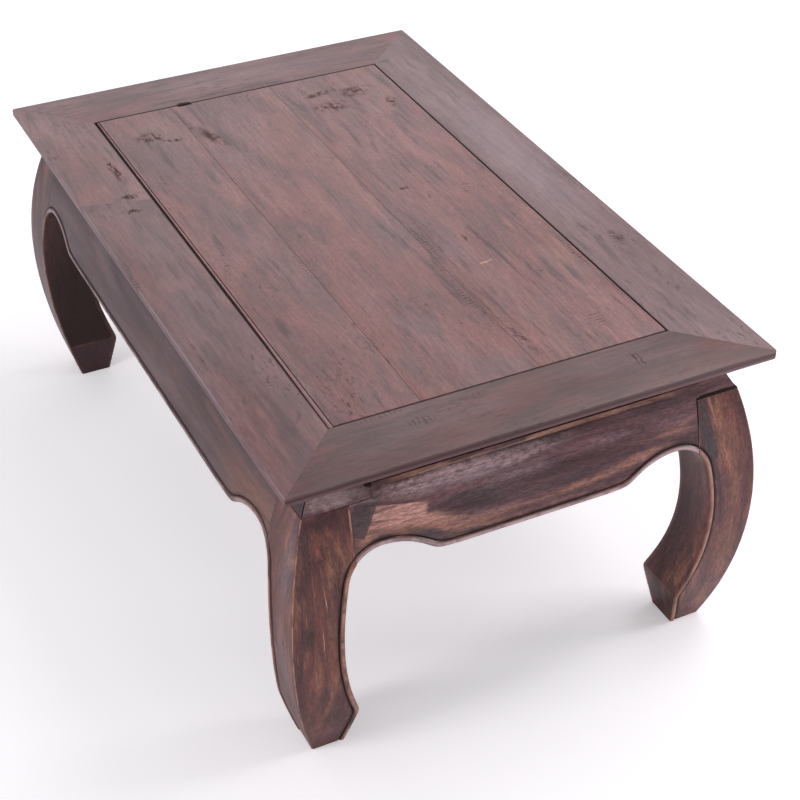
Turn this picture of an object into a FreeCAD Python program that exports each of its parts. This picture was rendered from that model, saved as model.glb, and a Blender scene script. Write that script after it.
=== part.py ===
import FreeCAD, Part
import os
import Sketcher

# Low table with a mitred, framed plank top, a hollow waist, shaped aprons and curved legs.
# X runs across the table, Y along it and Z up; the origin is on the floor under its middle.
# An inset is a distance in from the outer edge of the top, the same on all four sides.

# Driving dimensions, in millimetres unless the name says otherwise.
SIZES = {
    "top_length": 1000,
    "top_width": 635,
    "table_height": 433,
    "top_thickness": 20,
    "rail_width": 94,
    "rim_band": 6,
    "rim_nose_inset": 5,
    "rim_nose_drop": 8,
    "rim_undercut": 26,
    "tongue_thickness": 8,
    "tongue_reach": 9,
    "tongue_end_gap": 0.6,
    "fit_gap": 0.2,
    "plank_gap": 0.4,
    "plank_1_width": 109,
    "plank_2_width": 155,
    "plank_3_width": 83,
    "plank_4_width": 92,
    "slip_gap": 3,
    "slip_width": 4,
    "splice_place": 173,
    "splice_slant": 24,
    "biscuit_radius": 24,
    "biscuit_thickness": 4,
    "waist_height": 41,
    "waist_foot_inset": 31,
    "waist_top_inset": 50,
    "waist_hollow": 2,
    "carcass_inset": 30,
    "carcass_thickness": 32,
    "apron_depth": 86,
    "arch_depth": 59,
    "arch_radius": 45,
    "arch_seam_angle_degrees": 48,
    "cusp_run": 65,
    "tenon_length": 29,
    "tenon_thickness": 12,
    "tenon_setback": 5,
    "tenon_shoulder": 7,
    "leg_head": 58.5,
    "belly_inset": 3,
    "belly_drop": 167,
    "shin_drop": 72,
    "haunch_flare": 8,
    "toe_reach": 29.5,
    "toe_height": 52,
    "foot_inset": 37.5,
    "foot_width": 40.5,
    "cleat_thickness": 20,
    "cleat_drop": 25,
    "cleat_end_gap": 3,
    "batten_width": 40,
    "batten_depth": 22,
    "batten_spacing": 250,
    "batten_end_gap": 1,
    "dowel_radius": 5,
    "dowel_length": 44,
    "screw_radius": 2.2,
    "screw_head_radius": 4.4,
    "screw_head_height": 3,
    "batten_screw_length": 34,
    "apron_screw_length": 34,
    "top_screw_bite": 12,
    "screw_end_inset": 100,
    "screw_stagger": 30,
    "saw_run_out": 5,
}

# Places that follow from the driving dimensions.
LAYOUT = {
    "half_length": "dim.top_length / 2",
    "half_width": "dim.top_width / 2",
    "top_underside": "dim.table_height - dim.top_thickness",
    "leg_top": "top_underside - dim.waist_height",
    "panel_half_length": "half_length - dim.rail_width",
    "panel_half_width": "half_width - dim.rail_width",
    "groove_low": "top_underside + (dim.top_thickness - dim.tongue_thickness) / 2",
    "groove_high": "groove_low + dim.tongue_thickness",
    "tongue_low": "groove_low + dim.fit_gap",
    "tongue_high": "groove_high - dim.fit_gap",
    "groove_depth": "dim.tongue_reach + dim.tongue_end_gap",
    "nose_radius": "(dim.rim_nose_drop ^ 2 + dim.rim_nose_inset ^ 2) / (2 * dim.rim_nose_inset)",
    "nose_bottom": "dim.table_height - dim.rim_band - dim.rim_nose_drop",
    "planks_left": "-panel_half_width + dim.slip_gap + dim.slip_width",
    "planks_right": "panel_half_width - dim.plank_gap",
    "planks_sum": "dim.plank_1_width + dim.plank_2_width + dim.plank_3_width + dim.plank_4_width",
    "plank_fill": "(planks_right - planks_left) / planks_sum",
    "plank_1_start": "planks_left",
    "plank_2_start": "plank_1_start + dim.plank_1_width * plank_fill",
    "plank_3_start": "plank_2_start + dim.plank_2_width * plank_fill",
    "plank_4_start": "plank_3_start + dim.plank_3_width * plank_fill",
    "plank_5_start": "planks_right + dim.plank_gap",
    "biscuit_low": "top_underside + (dim.top_thickness - dim.biscuit_thickness) / 2",
    "biscuit_high": "biscuit_low + dim.biscuit_thickness",
    "waist_lean": "dim.waist_top_inset - dim.waist_foot_inset",
    "waist_chord": "sqrt(waist_lean ^ 2 + dim.waist_height ^ 2)",
    "waist_radius": "waist_chord ^ 2 / (8 * dim.waist_hollow) + dim.waist_hollow / 2",
    "carcass_back": "dim.carcass_inset + dim.carcass_thickness",
    "seam_inset": "dim.carcass_inset + dim.leg_head",
    "apron_bottom": "leg_top - dim.apron_depth",
    "apex_height": "leg_top - dim.arch_depth",
    "apex_inset": "seam_inset + dim.arch_radius * sin(dim.arch_seam_angle_degrees)",
    "arch_center_height": "apex_height - dim.arch_radius",
    "seam_bottom": "arch_center_height + dim.arch_radius * cos(dim.arch_seam_angle_degrees)",
    "cusp_inset": "apex_inset + dim.cusp_run",
    "cusp_drop": "apex_height - apron_bottom",
    "cusp_radius": "(dim.cusp_run ^ 2 + cusp_drop ^ 2) / (2 * cusp_drop)",
    "belly_height": "leg_top - dim.belly_drop",
    "brow_lean": "dim.carcass_inset - dim.belly_inset",
    "brow_radius": "(dim.belly_drop ^ 2 + brow_lean ^ 2) / (2 * brow_lean)",
    "calf_lean": "dim.foot_inset - dim.belly_inset",
    "calf_radius": "(belly_height ^ 2 + calf_lean ^ 2) / (2 * calf_lean)",
    "shin_inset": "apex_inset - dim.arch_radius - dim.haunch_flare",
    "shin_height": "arch_center_height - dim.shin_drop",
    "haunch_reach": "dim.haunch_flare + dim.arch_radius",
    "haunch_square": "haunch_reach ^ 2 + dim.shin_drop ^ 2 - dim.arch_radius ^ 2",
    "haunch_radius": "haunch_square / (2 * dim.haunch_flare)",
    "haunch_share": "dim.arch_radius / (haunch_radius - dim.arch_radius)",
    "haunch_inset": "apex_inset - haunch_share * (haunch_radius - haunch_reach)",
    "haunch_height": "arch_center_height + haunch_share * dim.shin_drop",
    "toe_inset": "shin_inset + dim.toe_reach",
    "toe_drop": "shin_height - dim.toe_height",
    "instep_radius": "(toe_drop ^ 2 + dim.toe_reach ^ 2) / (2 * dim.toe_reach)",
    "foot_inner_inset": "dim.foot_inset + dim.foot_width",
    "leg_stock": "max(toe_inset; seam_inset)",
    "apron_lip_rise": "apron_bottom - belly_height",
    "apron_lip_inset": "dim.belly_inset + brow_radius - sqrt(brow_radius ^ 2 - apron_lip_rise ^ 2)",
    "tenon_front": "dim.carcass_inset + dim.tenon_setback",
    "tenon_back": "tenon_front + dim.tenon_thickness",
    "tenon_low": "apex_height + dim.tenon_shoulder",
    "tenon_high": "leg_top - dim.tenon_shoulder",
    "mortise_depth": "dim.tenon_length + dim.tongue_end_gap",
    "cleat_back": "carcass_back + dim.cleat_thickness",
    "cleat_middle": "carcass_back + dim.cleat_thickness / 2",
    "cleat_low": "leg_top - dim.cleat_drop",
    "cleat_end_inset": "seam_inset + dim.cleat_end_gap",
    "batten_low": "top_underside - dim.batten_depth",
    "batten_half_length": "half_width - cleat_back - dim.batten_end_gap",
    "block_middle": "(carcass_back + seam_inset) / 2",
    "dowel_low": "leg_top - dim.dowel_length / 2",
    "dowel_high": "leg_top + dim.dowel_length / 2",
    "apron_screw_height": "leg_top - dim.cleat_drop / 2",
}

UP = FreeCAD.Vector(0, 0, 1)
# Each side and corner is modelled at one place and turned about the vertical axis.
TURN_DEGREES = {
    "far": 0,
    "left": 90,
    "near": 180,
    "right": 270,
    "near_left": 0,
    "near_right": 90,
    "far_right": 180,
    "far_left": 270,
}
# Each side: its distance from the middle and half its run.
SIDES = {
    "near": ("lay.half_length", "lay.half_width"),
    "far": ("lay.half_length", "lay.half_width"),
    "left": ("lay.half_width", "lay.half_length"),
    "right": ("lay.half_width", "lay.half_length"),
}
# Each corner: the signs of its X and Y.
CORNERS = {
    "near_left": ("-", "-"),
    "near_right": ("", "-"),
    "far_right": ("", ""),
    "far_left": ("-", ""),
}
ANTICLOCKWISE = 1
CLOCKWISE = -1

doc = FreeCAD.newDocument("opium_table")
nodes = []


def new_sheet(name, cells, lead=""):
    """A column of named cells."""
    sheet = doc.addObject("Spreadsheet::Sheet", name)
    for row, (alias, content) in enumerate(cells.items(), start=1):
        sheet.set(f"A{row}", alias)
        sheet.set(f"B{row}", lead + str(content))
        sheet.setAlias(f"B{row}", alias)
    doc.recompute()
    return sheet


dim = new_sheet("dim", SIZES)
lay = new_sheet("lay", LAYOUT, "=")


def value(expression):
    """The number that an expression stands for."""
    return lay.evalExpression(expression)


def new_body(label, turned="far", x="0", y="0"):
    """An empty body, turned to its side or corner and moved to a place on the floor."""
    body = doc.addObject("PartDesign::Body", label)
    body.Label = label
    body.Placement = FreeCAD.Placement(FreeCAD.Vector(), FreeCAD.Rotation(UP, TURN_DEGREES[turned]))
    body.setExpression("Placement.Base.x", x)
    body.setExpression("Placement.Base.y", y)
    return body


def new_sketch(body, plane, place="0"):
    """A sketch on one of the body's own planes, moved along the plane's axis to a place."""
    sketch = body.newObject("Sketcher::SketchObject", body.Name + "_sketch")
    support = next(item for item in body.Origin.OriginFeatures if item.Role == plane)
    sketch.AttachmentSupport = (support, "")
    sketch.MapMode = "FlatFace"
    # The XZ plane's normal points along -Y.
    sketch.setExpression("AttachmentOffset.Base.z", f"-({place})" if plane == "XZ_Plane" else place)
    return sketch


def tie(sketch, kind, elements, expression):
    """A dimension of the sketch that follows an expression."""
    index = sketch.addConstraint(Sketcher.Constraint(kind, *elements, value(expression)))
    sketch.setExpression(f"Constraints[{index}]", expression)


def tie_point(sketch, geometry, end, x, y):
    """A point of the sketch held at its distances from the sketch's origin."""
    tie(sketch, "DistanceX", (-1, 1, geometry, end), x)
    tie(sketch, "DistanceY", (-1, 1, geometry, end), y)


def arc_between(start, end, radius, bend):
    """The shorter arc from start to end that bends the given way."""
    chord = end - start
    middle = (start + end) / 2
    rise = max(radius ** 2 - chord.Length ** 2 / 4, 0) ** 0.5
    center = middle + UP.cross(chord).normalize() * rise * bend
    outward = (middle - center) if rise > 0 else chord.cross(UP) * bend
    return Part.Arc(start, center + outward.normalize() * radius, end)


def draw_outline(sketch, corners):
    """A closed outline; a corner with a radius and a bend is reached by an arc."""
    points = [FreeCAD.Vector(value(corner[0]), value(corner[1]), 0) for corner in corners]
    edges = []
    for index, corner in enumerate(corners):
        start, end = points[index - 1], points[index]
        if len(corner) == 2:
            geometry = sketch.addGeometry(Part.LineSegment(start, end))
            edges.append((geometry, 1, 2))
            continue
        radius, bend = corner[2:]
        geometry = sketch.addGeometry(arc_between(start, end, value(radius), bend))
        # An arc's own ends run anticlockwise.
        edges.append((geometry, 1, 2) if bend == ANTICLOCKWISE else (geometry, 2, 1))
        tie(sketch, "Radius", (geometry,), radius)
    for index, (geometry, first, last) in enumerate(edges):
        before, _, before_last = edges[index - 1]
        sketch.addConstraint(Sketcher.Constraint("Coincident", before, before_last, geometry, first))
        tie_point(sketch, geometry, last, *corners[index][:2])


def rectangle(left, right, low, high):
    """The corners of an upright rectangle."""
    return [(left, low), (right, low), (right, high), (left, high)]


def pad(sketch, length, symmetric=False):
    """Material added from a sketch, along its axis or to both sides alike."""
    body = sketch.getParentGeoFeatureGroup()
    feature = body.newObject("PartDesign::Pad", body.Name + "_pad")
    feature.Profile = sketch
    feature.setExpression("Length", length)
    feature.SideType = "Symmetric" if symmetric else "One side"
    feature.Reversed = sketch.AttachmentSupport[0][0].Role == "XZ_Plane"
    return feature


def pocket(sketch, depth=None):
    """Material removed from a sketch, back along its axis, or right through to both sides."""
    body = sketch.getParentGeoFeatureGroup()
    feature = body.newObject("PartDesign::Pocket", body.Name + "_pocket")
    feature.Profile = sketch
    if depth is None:
        feature.SideType = "Symmetric"
        feature.Type = "ThroughAll"
    else:
        feature.setExpression("Length", depth)
        feature.Reversed = sketch.AttachmentSupport[0][0].Role == "XZ_Plane"
    return feature


def new_pegs(label, plane, spots, steps, turned="far"):
    """Round pegs side by side; each step is a radius with where it starts and ends."""
    body = new_body(label, turned)
    for radius, start, end in steps:
        sketch = new_sketch(body, plane, start)
        for x, y in spots:
            circle = Part.Circle(FreeCAD.Vector(value(x), value(y), 0), UP, value(radius))
            geometry = sketch.addGeometry(circle)
            tie(sketch, "Radius", (geometry,), radius)
            tie_point(sketch, geometry, 3, x, y)
        pad(sketch, f"{end} - ({start})")
    return body


def new_box(label, x, y, z):
    """A plain block between two places on each axis."""
    box = doc.addObject("Part::Box", label)
    box.Label = label
    for side, axis, (start, end) in zip(("Length", "Width", "Height"), "xyz", (x, y, z)):
        box.setExpression(side, f"{end} - ({start})")
        box.setExpression(f"Placement.Base.{axis}", start)
    return box


def group(label, members):
    """Several solids held as one."""
    compound = doc.addObject("Part::Compound", label)
    compound.Label = label
    compound.Links = members
    return compound


def cut_out(label, blank, cutters):
    """A blank with the joinery of its neighbours cut out of it."""
    cut = doc.addObject("Part::Cut", label)
    cut.Label = label
    cut.Base = blank
    cut.Tool = cutters[0] if len(cutters) == 1 else group(label + "_cutters", cutters)
    return cut


def rail_profile(reach):
    """Section of a top rail: rounded rim, undercut edge and a groove for the panel."""
    inner = f"{reach} - dim.rail_width"
    groove_end = f"{inner} + lay.groove_depth"
    return [
        (inner, "dim.table_height"),
        (reach, "dim.table_height"),
        (reach, "dim.table_height - dim.rim_band"),
        (f"{reach} - dim.rim_nose_inset", "lay.nose_bottom", "lay.nose_radius", CLOCKWISE),
        (f"{reach} - dim.rim_undercut", "lay.top_underside"),
        (inner, "lay.top_underside"),
        (inner, "lay.groove_low"),
        (groove_end, "lay.groove_low"),
        (groove_end, "lay.groove_high"),
        (inner, "lay.groove_high"),
    ]


def waist_profile(reach):
    """Section of a waist strip: a hollow face that leans out towards its foot."""
    back = f"{reach} - lay.carcass_back"
    return [
        (back, "lay.leg_top"),
        (back, "lay.top_underside"),
        (f"{reach} - dim.waist_top_inset", "lay.top_underside"),
        (f"{reach} - dim.waist_foot_inset", "lay.leg_top", "lay.waist_radius", ANTICLOCKWISE),
    ]


def mitred_strip(label, side, profile, inner_inset):
    """A moulded strip along one side, cut at 45 degrees at both ends."""
    reach, run = SIDES[side]
    body = new_body(label, side)
    section = new_sketch(body, "YZ_Plane")
    draw_outline(section, profile(reach))
    pad(section, f"2 * {run}", symmetric=True)
    past = "dim.saw_run_out"
    inside = f"({inner_inset} + {past})"
    for sign in ("", "-"):
        waste = new_sketch(body, "XY_Plane")
        draw_outline(waste, [
            (f"{sign}({run} + {past})", f"{reach} + {past}"),
            (f"{sign}({run} - {inside})", f"{reach} - {inside}"),
            (f"{sign}({run} + {past})", f"{reach} - {inside}"),
        ])
        pocket(waste)
    return body


def splice(body, side, sign):
    """The strip cut off along the slanting splice, on the side that the sign names."""
    reach, run = SIDES[side]
    past = "dim.saw_run_out"
    outside = f"{reach} + {past}"
    inside = f"{reach} - dim.rail_width - {past}"
    waste = new_sketch(body, "XY_Plane")
    draw_outline(waste, [
        (f"{sign}({run} + {past})", outside),
        ("dim.splice_place + dim.splice_slant / 2", outside),
        ("dim.splice_place - dim.splice_slant / 2", inside),
        (f"{sign}({run} + {past})", inside),
    ])
    pocket(waste)
    return body


def make_screws(name, plane, spots, start, length, turned="far"):
    """Screws side by side, and the drill holes that they go in."""
    gap = "dim.fit_gap"
    neck = f"{start} + dim.screw_head_height"
    screws = new_pegs(name, plane, spots, [
        ("dim.screw_head_radius", start, neck),
        ("dim.screw_radius", neck, f"{start} + {length}"),
    ], turned)
    holes = new_pegs(name + "_holes", plane, spots, [
        (f"dim.screw_head_radius + {gap}", f"{start} - {gap}", neck),
        (f"dim.screw_radius + {gap}", neck, f"{start} + {length} + {gap}"),
    ], turned)
    return screws, holes


def screw_runs(side):
    """Places along a side where its cleat is screwed: near its ends, and midway on the long sides."""
    _, run = SIDES[side]
    outer = f"({run} - lay.cleat_end_inset - dim.screw_end_inset)"
    if side in ("near", "far"):
        return [f"-{outer}", outer]
    return [f"-{outer}", "0", outer]


def make_top_screws(side):
    """Screws up through a side's cleat into the top rail."""
    reach, _ = SIDES[side]
    spots = [(f"{x} + dim.screw_stagger", f"{reach} - lay.cleat_middle") for x in screw_runs(side)]
    length = "lay.top_underside + dim.top_screw_bite - lay.cleat_low"
    return make_screws(f"top_screws_{side}", "XY_Plane", spots, "lay.cleat_low", length, side)


def make_apron_screws(side):
    """Screws out through a side's cleat into the apron."""
    reach, _ = SIDES[side]
    spots = [(x, "lay.apron_screw_height") for x in screw_runs(side)]
    start = f"{reach} - lay.cleat_back"
    return make_screws(f"apron_screws_{side}", "XZ_Plane", spots, start, "dim.apron_screw_length", side)


def make_biscuits():
    """Flat discs glued across the mitres and the splice, and the slots that they go in."""
    middle = "dim.rail_width / 2"
    x, y = f"(lay.half_width - {middle})", f"(lay.half_length - {middle})"
    mitres = [(f"{a}{x}", f"{b}{y}") for a, b in CORNERS.values()]
    splices = [(f"-{x}", "dim.splice_place")]
    disc = [("dim.biscuit_radius", "lay.biscuit_low", "lay.biscuit_high")]
    gap = "dim.fit_gap"
    slot = [(f"dim.biscuit_radius + {gap}", f"lay.biscuit_low - {gap}", f"lay.biscuit_high + {gap}")]
    nodes.append(new_pegs("mitre_biscuits", "XY_Plane", mitres, disc))
    nodes.append(new_pegs("splice_biscuit", "XY_Plane", splices, disc))
    return new_pegs("biscuit_slots", "XY_Plane", mitres + splices, slot)


def make_rails(slots, top_holes):
    """Four mitred rails; the left one is two lengths joined by a splice."""
    for side in ("near", "far", "right"):
        blank = mitred_strip(f"rail_{side}_blank", side, rail_profile, "dim.rail_width")
        nodes.append(cut_out(f"top_rail_{side}", blank, [slots, top_holes[side]]))
    for end, sign in (("near", ""), ("far", "-")):
        blank = mitred_strip(f"rail_left_{end}_blank", "left", rail_profile, "dim.rail_width")
        splice(blank, "left", sign)
        nodes.append(cut_out(f"top_rail_left_{end}", blank, [slots, top_holes["left"]]))


def plank_section(number):
    """Section of one plank: a groove at its left, a tongue at its right."""
    left = f"lay.plank_{number}_start"
    right = f"lay.plank_{number + 1}_start - dim.plank_gap"
    tip = f"lay.plank_{number + 1}_start + dim.tongue_reach"
    outline = [
        (left, "dim.table_height"),
        (right, "dim.table_height"),
        (right, "lay.tongue_high"),
        (tip, "lay.tongue_high"),
        (tip, "lay.tongue_low"),
        (right, "lay.tongue_low"),
        (right, "lay.top_underside"),
        (left, "lay.top_underside"),
    ]
    if number == 1:
        inner, low, high = "-lay.panel_half_width - dim.tongue_reach", "lay.tongue_low", "lay.tongue_high"
    else:
        inner, low, high = f"{left} + lay.groove_depth", "lay.groove_low", "lay.groove_high"
    return outline + [(left, low), (inner, low), (inner, high), (left, high)]


def make_plank(number, screw_holes):
    """One plank of the panel, with a tongue at each end for the end rails."""
    blank = new_body(f"plank_{number}_blank")
    section = new_sketch(blank, "XZ_Plane")
    draw_outline(section, plank_section(number))
    tip = "(lay.panel_half_length + dim.tongue_reach)"
    shoulder = "(lay.panel_half_length - dim.plank_gap)"
    past = "dim.saw_run_out"
    pad(section, f"2 * {tip}", symmetric=True)
    waste = new_sketch(blank, "YZ_Plane")
    for sign in ("", "-"):
        start, end = f"{sign}{shoulder}", f"{sign}({tip} + {past})"
        draw_outline(waste, rectangle(start, end, "lay.tongue_high", f"dim.table_height + {past}"))
        draw_outline(waste, rectangle(start, end, f"lay.top_underside - {past}", "lay.tongue_low"))
    pocket(waste)
    return cut_out(f"panel_plank_{number}", blank, [screw_holes])


def make_slip():
    """The thin filler strip that lies on the first plank's long tongue."""
    left = "-lay.panel_half_width + dim.slip_gap"
    reach = "lay.panel_half_length - dim.plank_gap"
    nodes.append(new_box(
        "panel_slip",
        (left, f"{left} + dim.slip_width"),
        (f"-({reach})", reach),
        ("lay.tongue_high", "dim.table_height"),
    ))


def make_panel():
    """Four planks, the slip, and three battens screwed up into the planks."""
    batten_places = {"near": "-dim.batten_spacing", "middle": "0", "far": "dim.batten_spacing"}
    plank_middles = [f"(lay.plank_{n}_start + lay.plank_{n + 1}_start) / 2" for n in range(1, 5)]
    spots = [(x, y) for y in batten_places.values() for x in plank_middles]
    screws, holes = make_screws("batten_screws", "XY_Plane", spots, "lay.batten_low", "dim.batten_screw_length")
    nodes.append(screws)
    for number in range(1, 5):
        nodes.append(make_plank(number, holes))
    make_slip()
    for name, place in batten_places.items():
        blank = new_box(
            f"batten_{name}_blank",
            ("-lay.batten_half_length", "lay.batten_half_length"),
            (f"{place} - dim.batten_width / 2", f"{place} + dim.batten_width / 2"),
            ("lay.batten_low", "lay.top_underside"),
        )
        nodes.append(cut_out(f"panel_batten_{name}", blank, [holes]))


def make_waist():
    """Four hollow strips between the top and the aprons."""
    for side in SIDES:
        nodes.append(mitred_strip(f"waist_{side}", side, waist_profile, "lay.carcass_back"))


def apron_front(run):
    """Front of an apron: an arch beside each leg, a cusp, and a straight middle."""
    seam = f"({run} - lay.seam_inset)"
    apex = f"({run} - lay.apex_inset)"
    cusp = f"({run} - lay.cusp_inset)"
    return [
        (f"-{seam}", "lay.leg_top"),
        (seam, "lay.leg_top"),
        (seam, "lay.seam_bottom"),
        (apex, "lay.apex_height", "dim.arch_radius", ANTICLOCKWISE),
        (cusp, "lay.apron_bottom", "lay.cusp_radius", ANTICLOCKWISE),
        (f"-{cusp}", "lay.apron_bottom"),
        (f"-{apex}", "lay.apex_height", "lay.cusp_radius", ANTICLOCKWISE),
        (f"-{seam}", "lay.seam_bottom", "dim.arch_radius", ANTICLOCKWISE),
    ]


def apron_waste(reach):
    """What is planed off an apron's front to round it like the legs."""
    past = "dim.saw_run_out"
    brow = f"{reach} - dim.carcass_inset"
    lip = f"{reach} - lay.apron_lip_inset"
    outside = f"{reach} + {past}"
    return [
        (outside, f"lay.leg_top + {past}"),
        (brow, f"lay.leg_top + {past}"),
        (brow, "lay.leg_top"),
        (lip, "lay.apron_bottom", "lay.brow_radius", CLOCKWISE),
        (lip, f"lay.apron_bottom - {past}"),
        (outside, f"lay.apron_bottom - {past}"),
    ]


def make_apron(side, screw_holes):
    """A shaped apron with a tenon at each end."""
    reach, run = SIDES[side]
    blank = new_body(f"apron_{side}_blank", side)
    front = new_sketch(blank, "XZ_Plane", f"{reach} - lay.carcass_back")
    draw_outline(front, apron_front(run))
    pad(front, "lay.carcass_back")
    waste = new_sketch(blank, "YZ_Plane")
    draw_outline(waste, apron_waste(reach))
    pocket(waste)
    tenon = new_sketch(blank, "YZ_Plane")
    back, face = f"{reach} - lay.tenon_back", f"{reach} - lay.tenon_front"
    draw_outline(tenon, rectangle(back, face, "lay.tenon_low", "lay.tenon_high"))
    pad(tenon, f"2 * ({run} - lay.seam_inset + dim.tenon_length)", symmetric=True)
    return cut_out(f"apron_{side}", blank, [screw_holes])


def make_cleat(side, holes):
    """A strip behind the waist and the apron that carries the top."""
    reach, run = SIDES[side]
    blank = new_body(f"cleat_{side}_blank", side)
    end = f"({run} - lay.cleat_end_inset)"
    section = new_sketch(blank, "YZ_Plane")
    back, front = f"{reach} - lay.cleat_back", f"{reach} - lay.carcass_back"
    draw_outline(section, rectangle(back, front, "lay.cleat_low", "lay.top_underside"))
    pad(section, f"2 * {end}", symmetric=True)
    return cut_out(f"cleat_{side}", blank, holes)


def leg_outline():
    """A leg seen from one face: bulging outside, hollow inside, with a turned-in toe."""
    return [
        ("dim.foot_inset", "0"),
        ("dim.belly_inset", "lay.belly_height", "lay.calf_radius", CLOCKWISE),
        ("dim.carcass_inset", "lay.leg_top", "lay.brow_radius", CLOCKWISE),
        ("lay.seam_inset", "lay.leg_top"),
        ("lay.seam_inset", "lay.seam_bottom"),
        ("lay.haunch_inset", "lay.haunch_height", "dim.arch_radius", ANTICLOCKWISE),
        ("lay.shin_inset", "lay.shin_height", "lay.haunch_radius", ANTICLOCKWISE),
        ("lay.toe_inset", "dim.toe_height", "lay.instep_radius", ANTICLOCKWISE),
        ("lay.foot_inner_inset", "0"),
    ]


def cut_mortises(leg):
    """Two mortises in the leg's head, one from each inner face."""
    gap = "dim.fit_gap"
    hole = rectangle(
        f"lay.tenon_front - {gap}", f"lay.tenon_back + {gap}",
        f"lay.tenon_low - {gap}", f"lay.tenon_high + {gap}",
    )
    for plane in ("YZ_Plane", "XZ_Plane"):
        sketch = new_sketch(leg, plane, "lay.seam_inset")
        draw_outline(sketch, hole)
        pocket(sketch, "lay.mortise_depth")


def make_leg(corner, dowel_holes):
    """A leg sawn to the same outline from two faces, with its outer corner at the top's corner."""
    x_sign, y_sign = CORNERS[corner]
    past = "dim.saw_run_out"
    blank = new_body(f"leg_{corner}_blank", corner, f"{x_sign}lay.half_width", f"{y_sign}lay.half_length")
    front = new_sketch(blank, "XZ_Plane")
    draw_outline(front, leg_outline())
    pad(front, "lay.leg_stock")
    waste = new_sketch(blank, "YZ_Plane")
    draw_outline(waste, rectangle(f"-{past}", f"lay.leg_stock + {past}", f"-{past}", f"lay.leg_top + {past}"))
    draw_outline(waste, leg_outline())
    pocket(waste)
    cut_mortises(blank)
    return cut_out(f"leg_{corner}", blank, [dowel_holes])


def make_corner_block(corner, dowel_holes):
    """A block on the leg's head, in the corner of the waist, that carries the top."""
    x_sign, y_sign = CORNERS[corner]
    spans = []
    for sign, half in ((x_sign, "lay.half_width"), (y_sign, "lay.half_length")):
        inner, outer = f"{half} - lay.seam_inset", f"{half} - lay.carcass_back"
        spans.append((f"-({outer})", f"-({inner})") if sign else (inner, outer))
    blank = new_box(f"block_{corner}_blank", *spans, ("lay.leg_top", "lay.top_underside"))
    return cut_out(f"corner_block_{corner}", blank, [dowel_holes])


def make_corners():
    """Legs and corner blocks, pinned together by dowels."""
    x, y = "(lay.half_width - lay.block_middle)", "(lay.half_length - lay.block_middle)"
    spots = [(f"{a}{x}", f"{b}{y}") for a, b in CORNERS.values()]
    gap = "dim.fit_gap"
    nodes.append(new_pegs("corner_dowels", "XY_Plane", spots, [
        ("dim.dowel_radius", "lay.dowel_low", "lay.dowel_high"),
    ]))
    holes = new_pegs("dowel_holes", "XY_Plane", spots, [
        (f"dim.dowel_radius + {gap}", f"lay.dowel_low - {gap}", f"lay.dowel_high + {gap}"),
    ])
    for corner in CORNERS:
        nodes.append(make_leg(corner, holes))
        nodes.append(make_corner_block(corner, holes))


def make_carcass_sides():
    """Aprons and cleats with their screws; gives the holes for the top screws of each side."""
    top_holes = {}
    top_screws = []
    apron_screws = []
    for side in SIDES:
        screws, top_holes[side] = make_top_screws(side)
        top_screws.append(screws)
        screws, apron_holes = make_apron_screws(side)
        apron_screws.append(screws)
        nodes.append(make_apron(side, apron_holes))
        nodes.append(make_cleat(side, [top_holes[side], apron_holes]))
    nodes.append(group("top_screws", top_screws))
    nodes.append(group("apron_screws", apron_screws))
    return top_holes


def check_and_export():
    """Every feature must be sound before any file is written."""
    doc.recompute()
    for item in doc.Objects:
        if "Invalid" in item.State or "Error" in item.State:
            raise RuntimeError(f"{item.Label} failed: {item.State}")
    for node in nodes:
        if node.Shape.isNull() or not node.Shape.isValid() or not node.Shape.Solids:
            raise RuntimeError(f"{node.Label} has no sound shape")
    os.makedirs("parts", exist_ok=True)
    for node in nodes:
        node.Shape.exportStep(f"parts/{node.Label}.step")


biscuit_slots = make_biscuits()
top_screw_holes = make_carcass_sides()
make_rails(biscuit_slots, top_screw_holes)
make_panel()
make_waist()
make_corners()
check_and_export()
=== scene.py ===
import math

import bmesh
import bpy
from bpy.props import FloatProperty, FloatVectorProperty, PointerProperty
from mathutils import Matrix, Vector


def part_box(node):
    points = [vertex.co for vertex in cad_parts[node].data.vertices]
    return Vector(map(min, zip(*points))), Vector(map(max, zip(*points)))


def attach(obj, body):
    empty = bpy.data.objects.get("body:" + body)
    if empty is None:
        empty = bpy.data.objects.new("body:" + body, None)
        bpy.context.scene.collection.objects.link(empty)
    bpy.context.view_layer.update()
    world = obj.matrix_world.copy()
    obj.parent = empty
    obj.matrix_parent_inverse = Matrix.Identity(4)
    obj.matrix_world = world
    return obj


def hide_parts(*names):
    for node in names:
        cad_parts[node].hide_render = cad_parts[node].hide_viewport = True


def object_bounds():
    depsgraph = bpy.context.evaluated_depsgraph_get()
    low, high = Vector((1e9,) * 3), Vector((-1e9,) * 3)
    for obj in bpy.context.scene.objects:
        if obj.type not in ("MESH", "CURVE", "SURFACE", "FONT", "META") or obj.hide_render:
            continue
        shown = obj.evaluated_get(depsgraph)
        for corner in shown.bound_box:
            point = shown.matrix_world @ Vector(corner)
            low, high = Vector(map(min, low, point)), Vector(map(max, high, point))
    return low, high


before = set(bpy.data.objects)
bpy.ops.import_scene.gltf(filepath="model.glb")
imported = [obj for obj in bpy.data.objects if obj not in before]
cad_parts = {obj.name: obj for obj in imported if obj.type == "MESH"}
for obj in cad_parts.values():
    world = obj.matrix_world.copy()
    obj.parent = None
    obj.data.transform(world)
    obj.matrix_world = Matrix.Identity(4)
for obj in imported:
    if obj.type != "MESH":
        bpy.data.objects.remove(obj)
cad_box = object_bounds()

bl_info = {
    "name": "Opium table",
    "version": (1, 0, 0),
    "blender": (4, 5, 0),
    "location": "View3D > Sidebar > Opium table",
    "description": "Builds a low lacquered table with a framed plank top and curved legs",
    "category": "Object",
}

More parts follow.
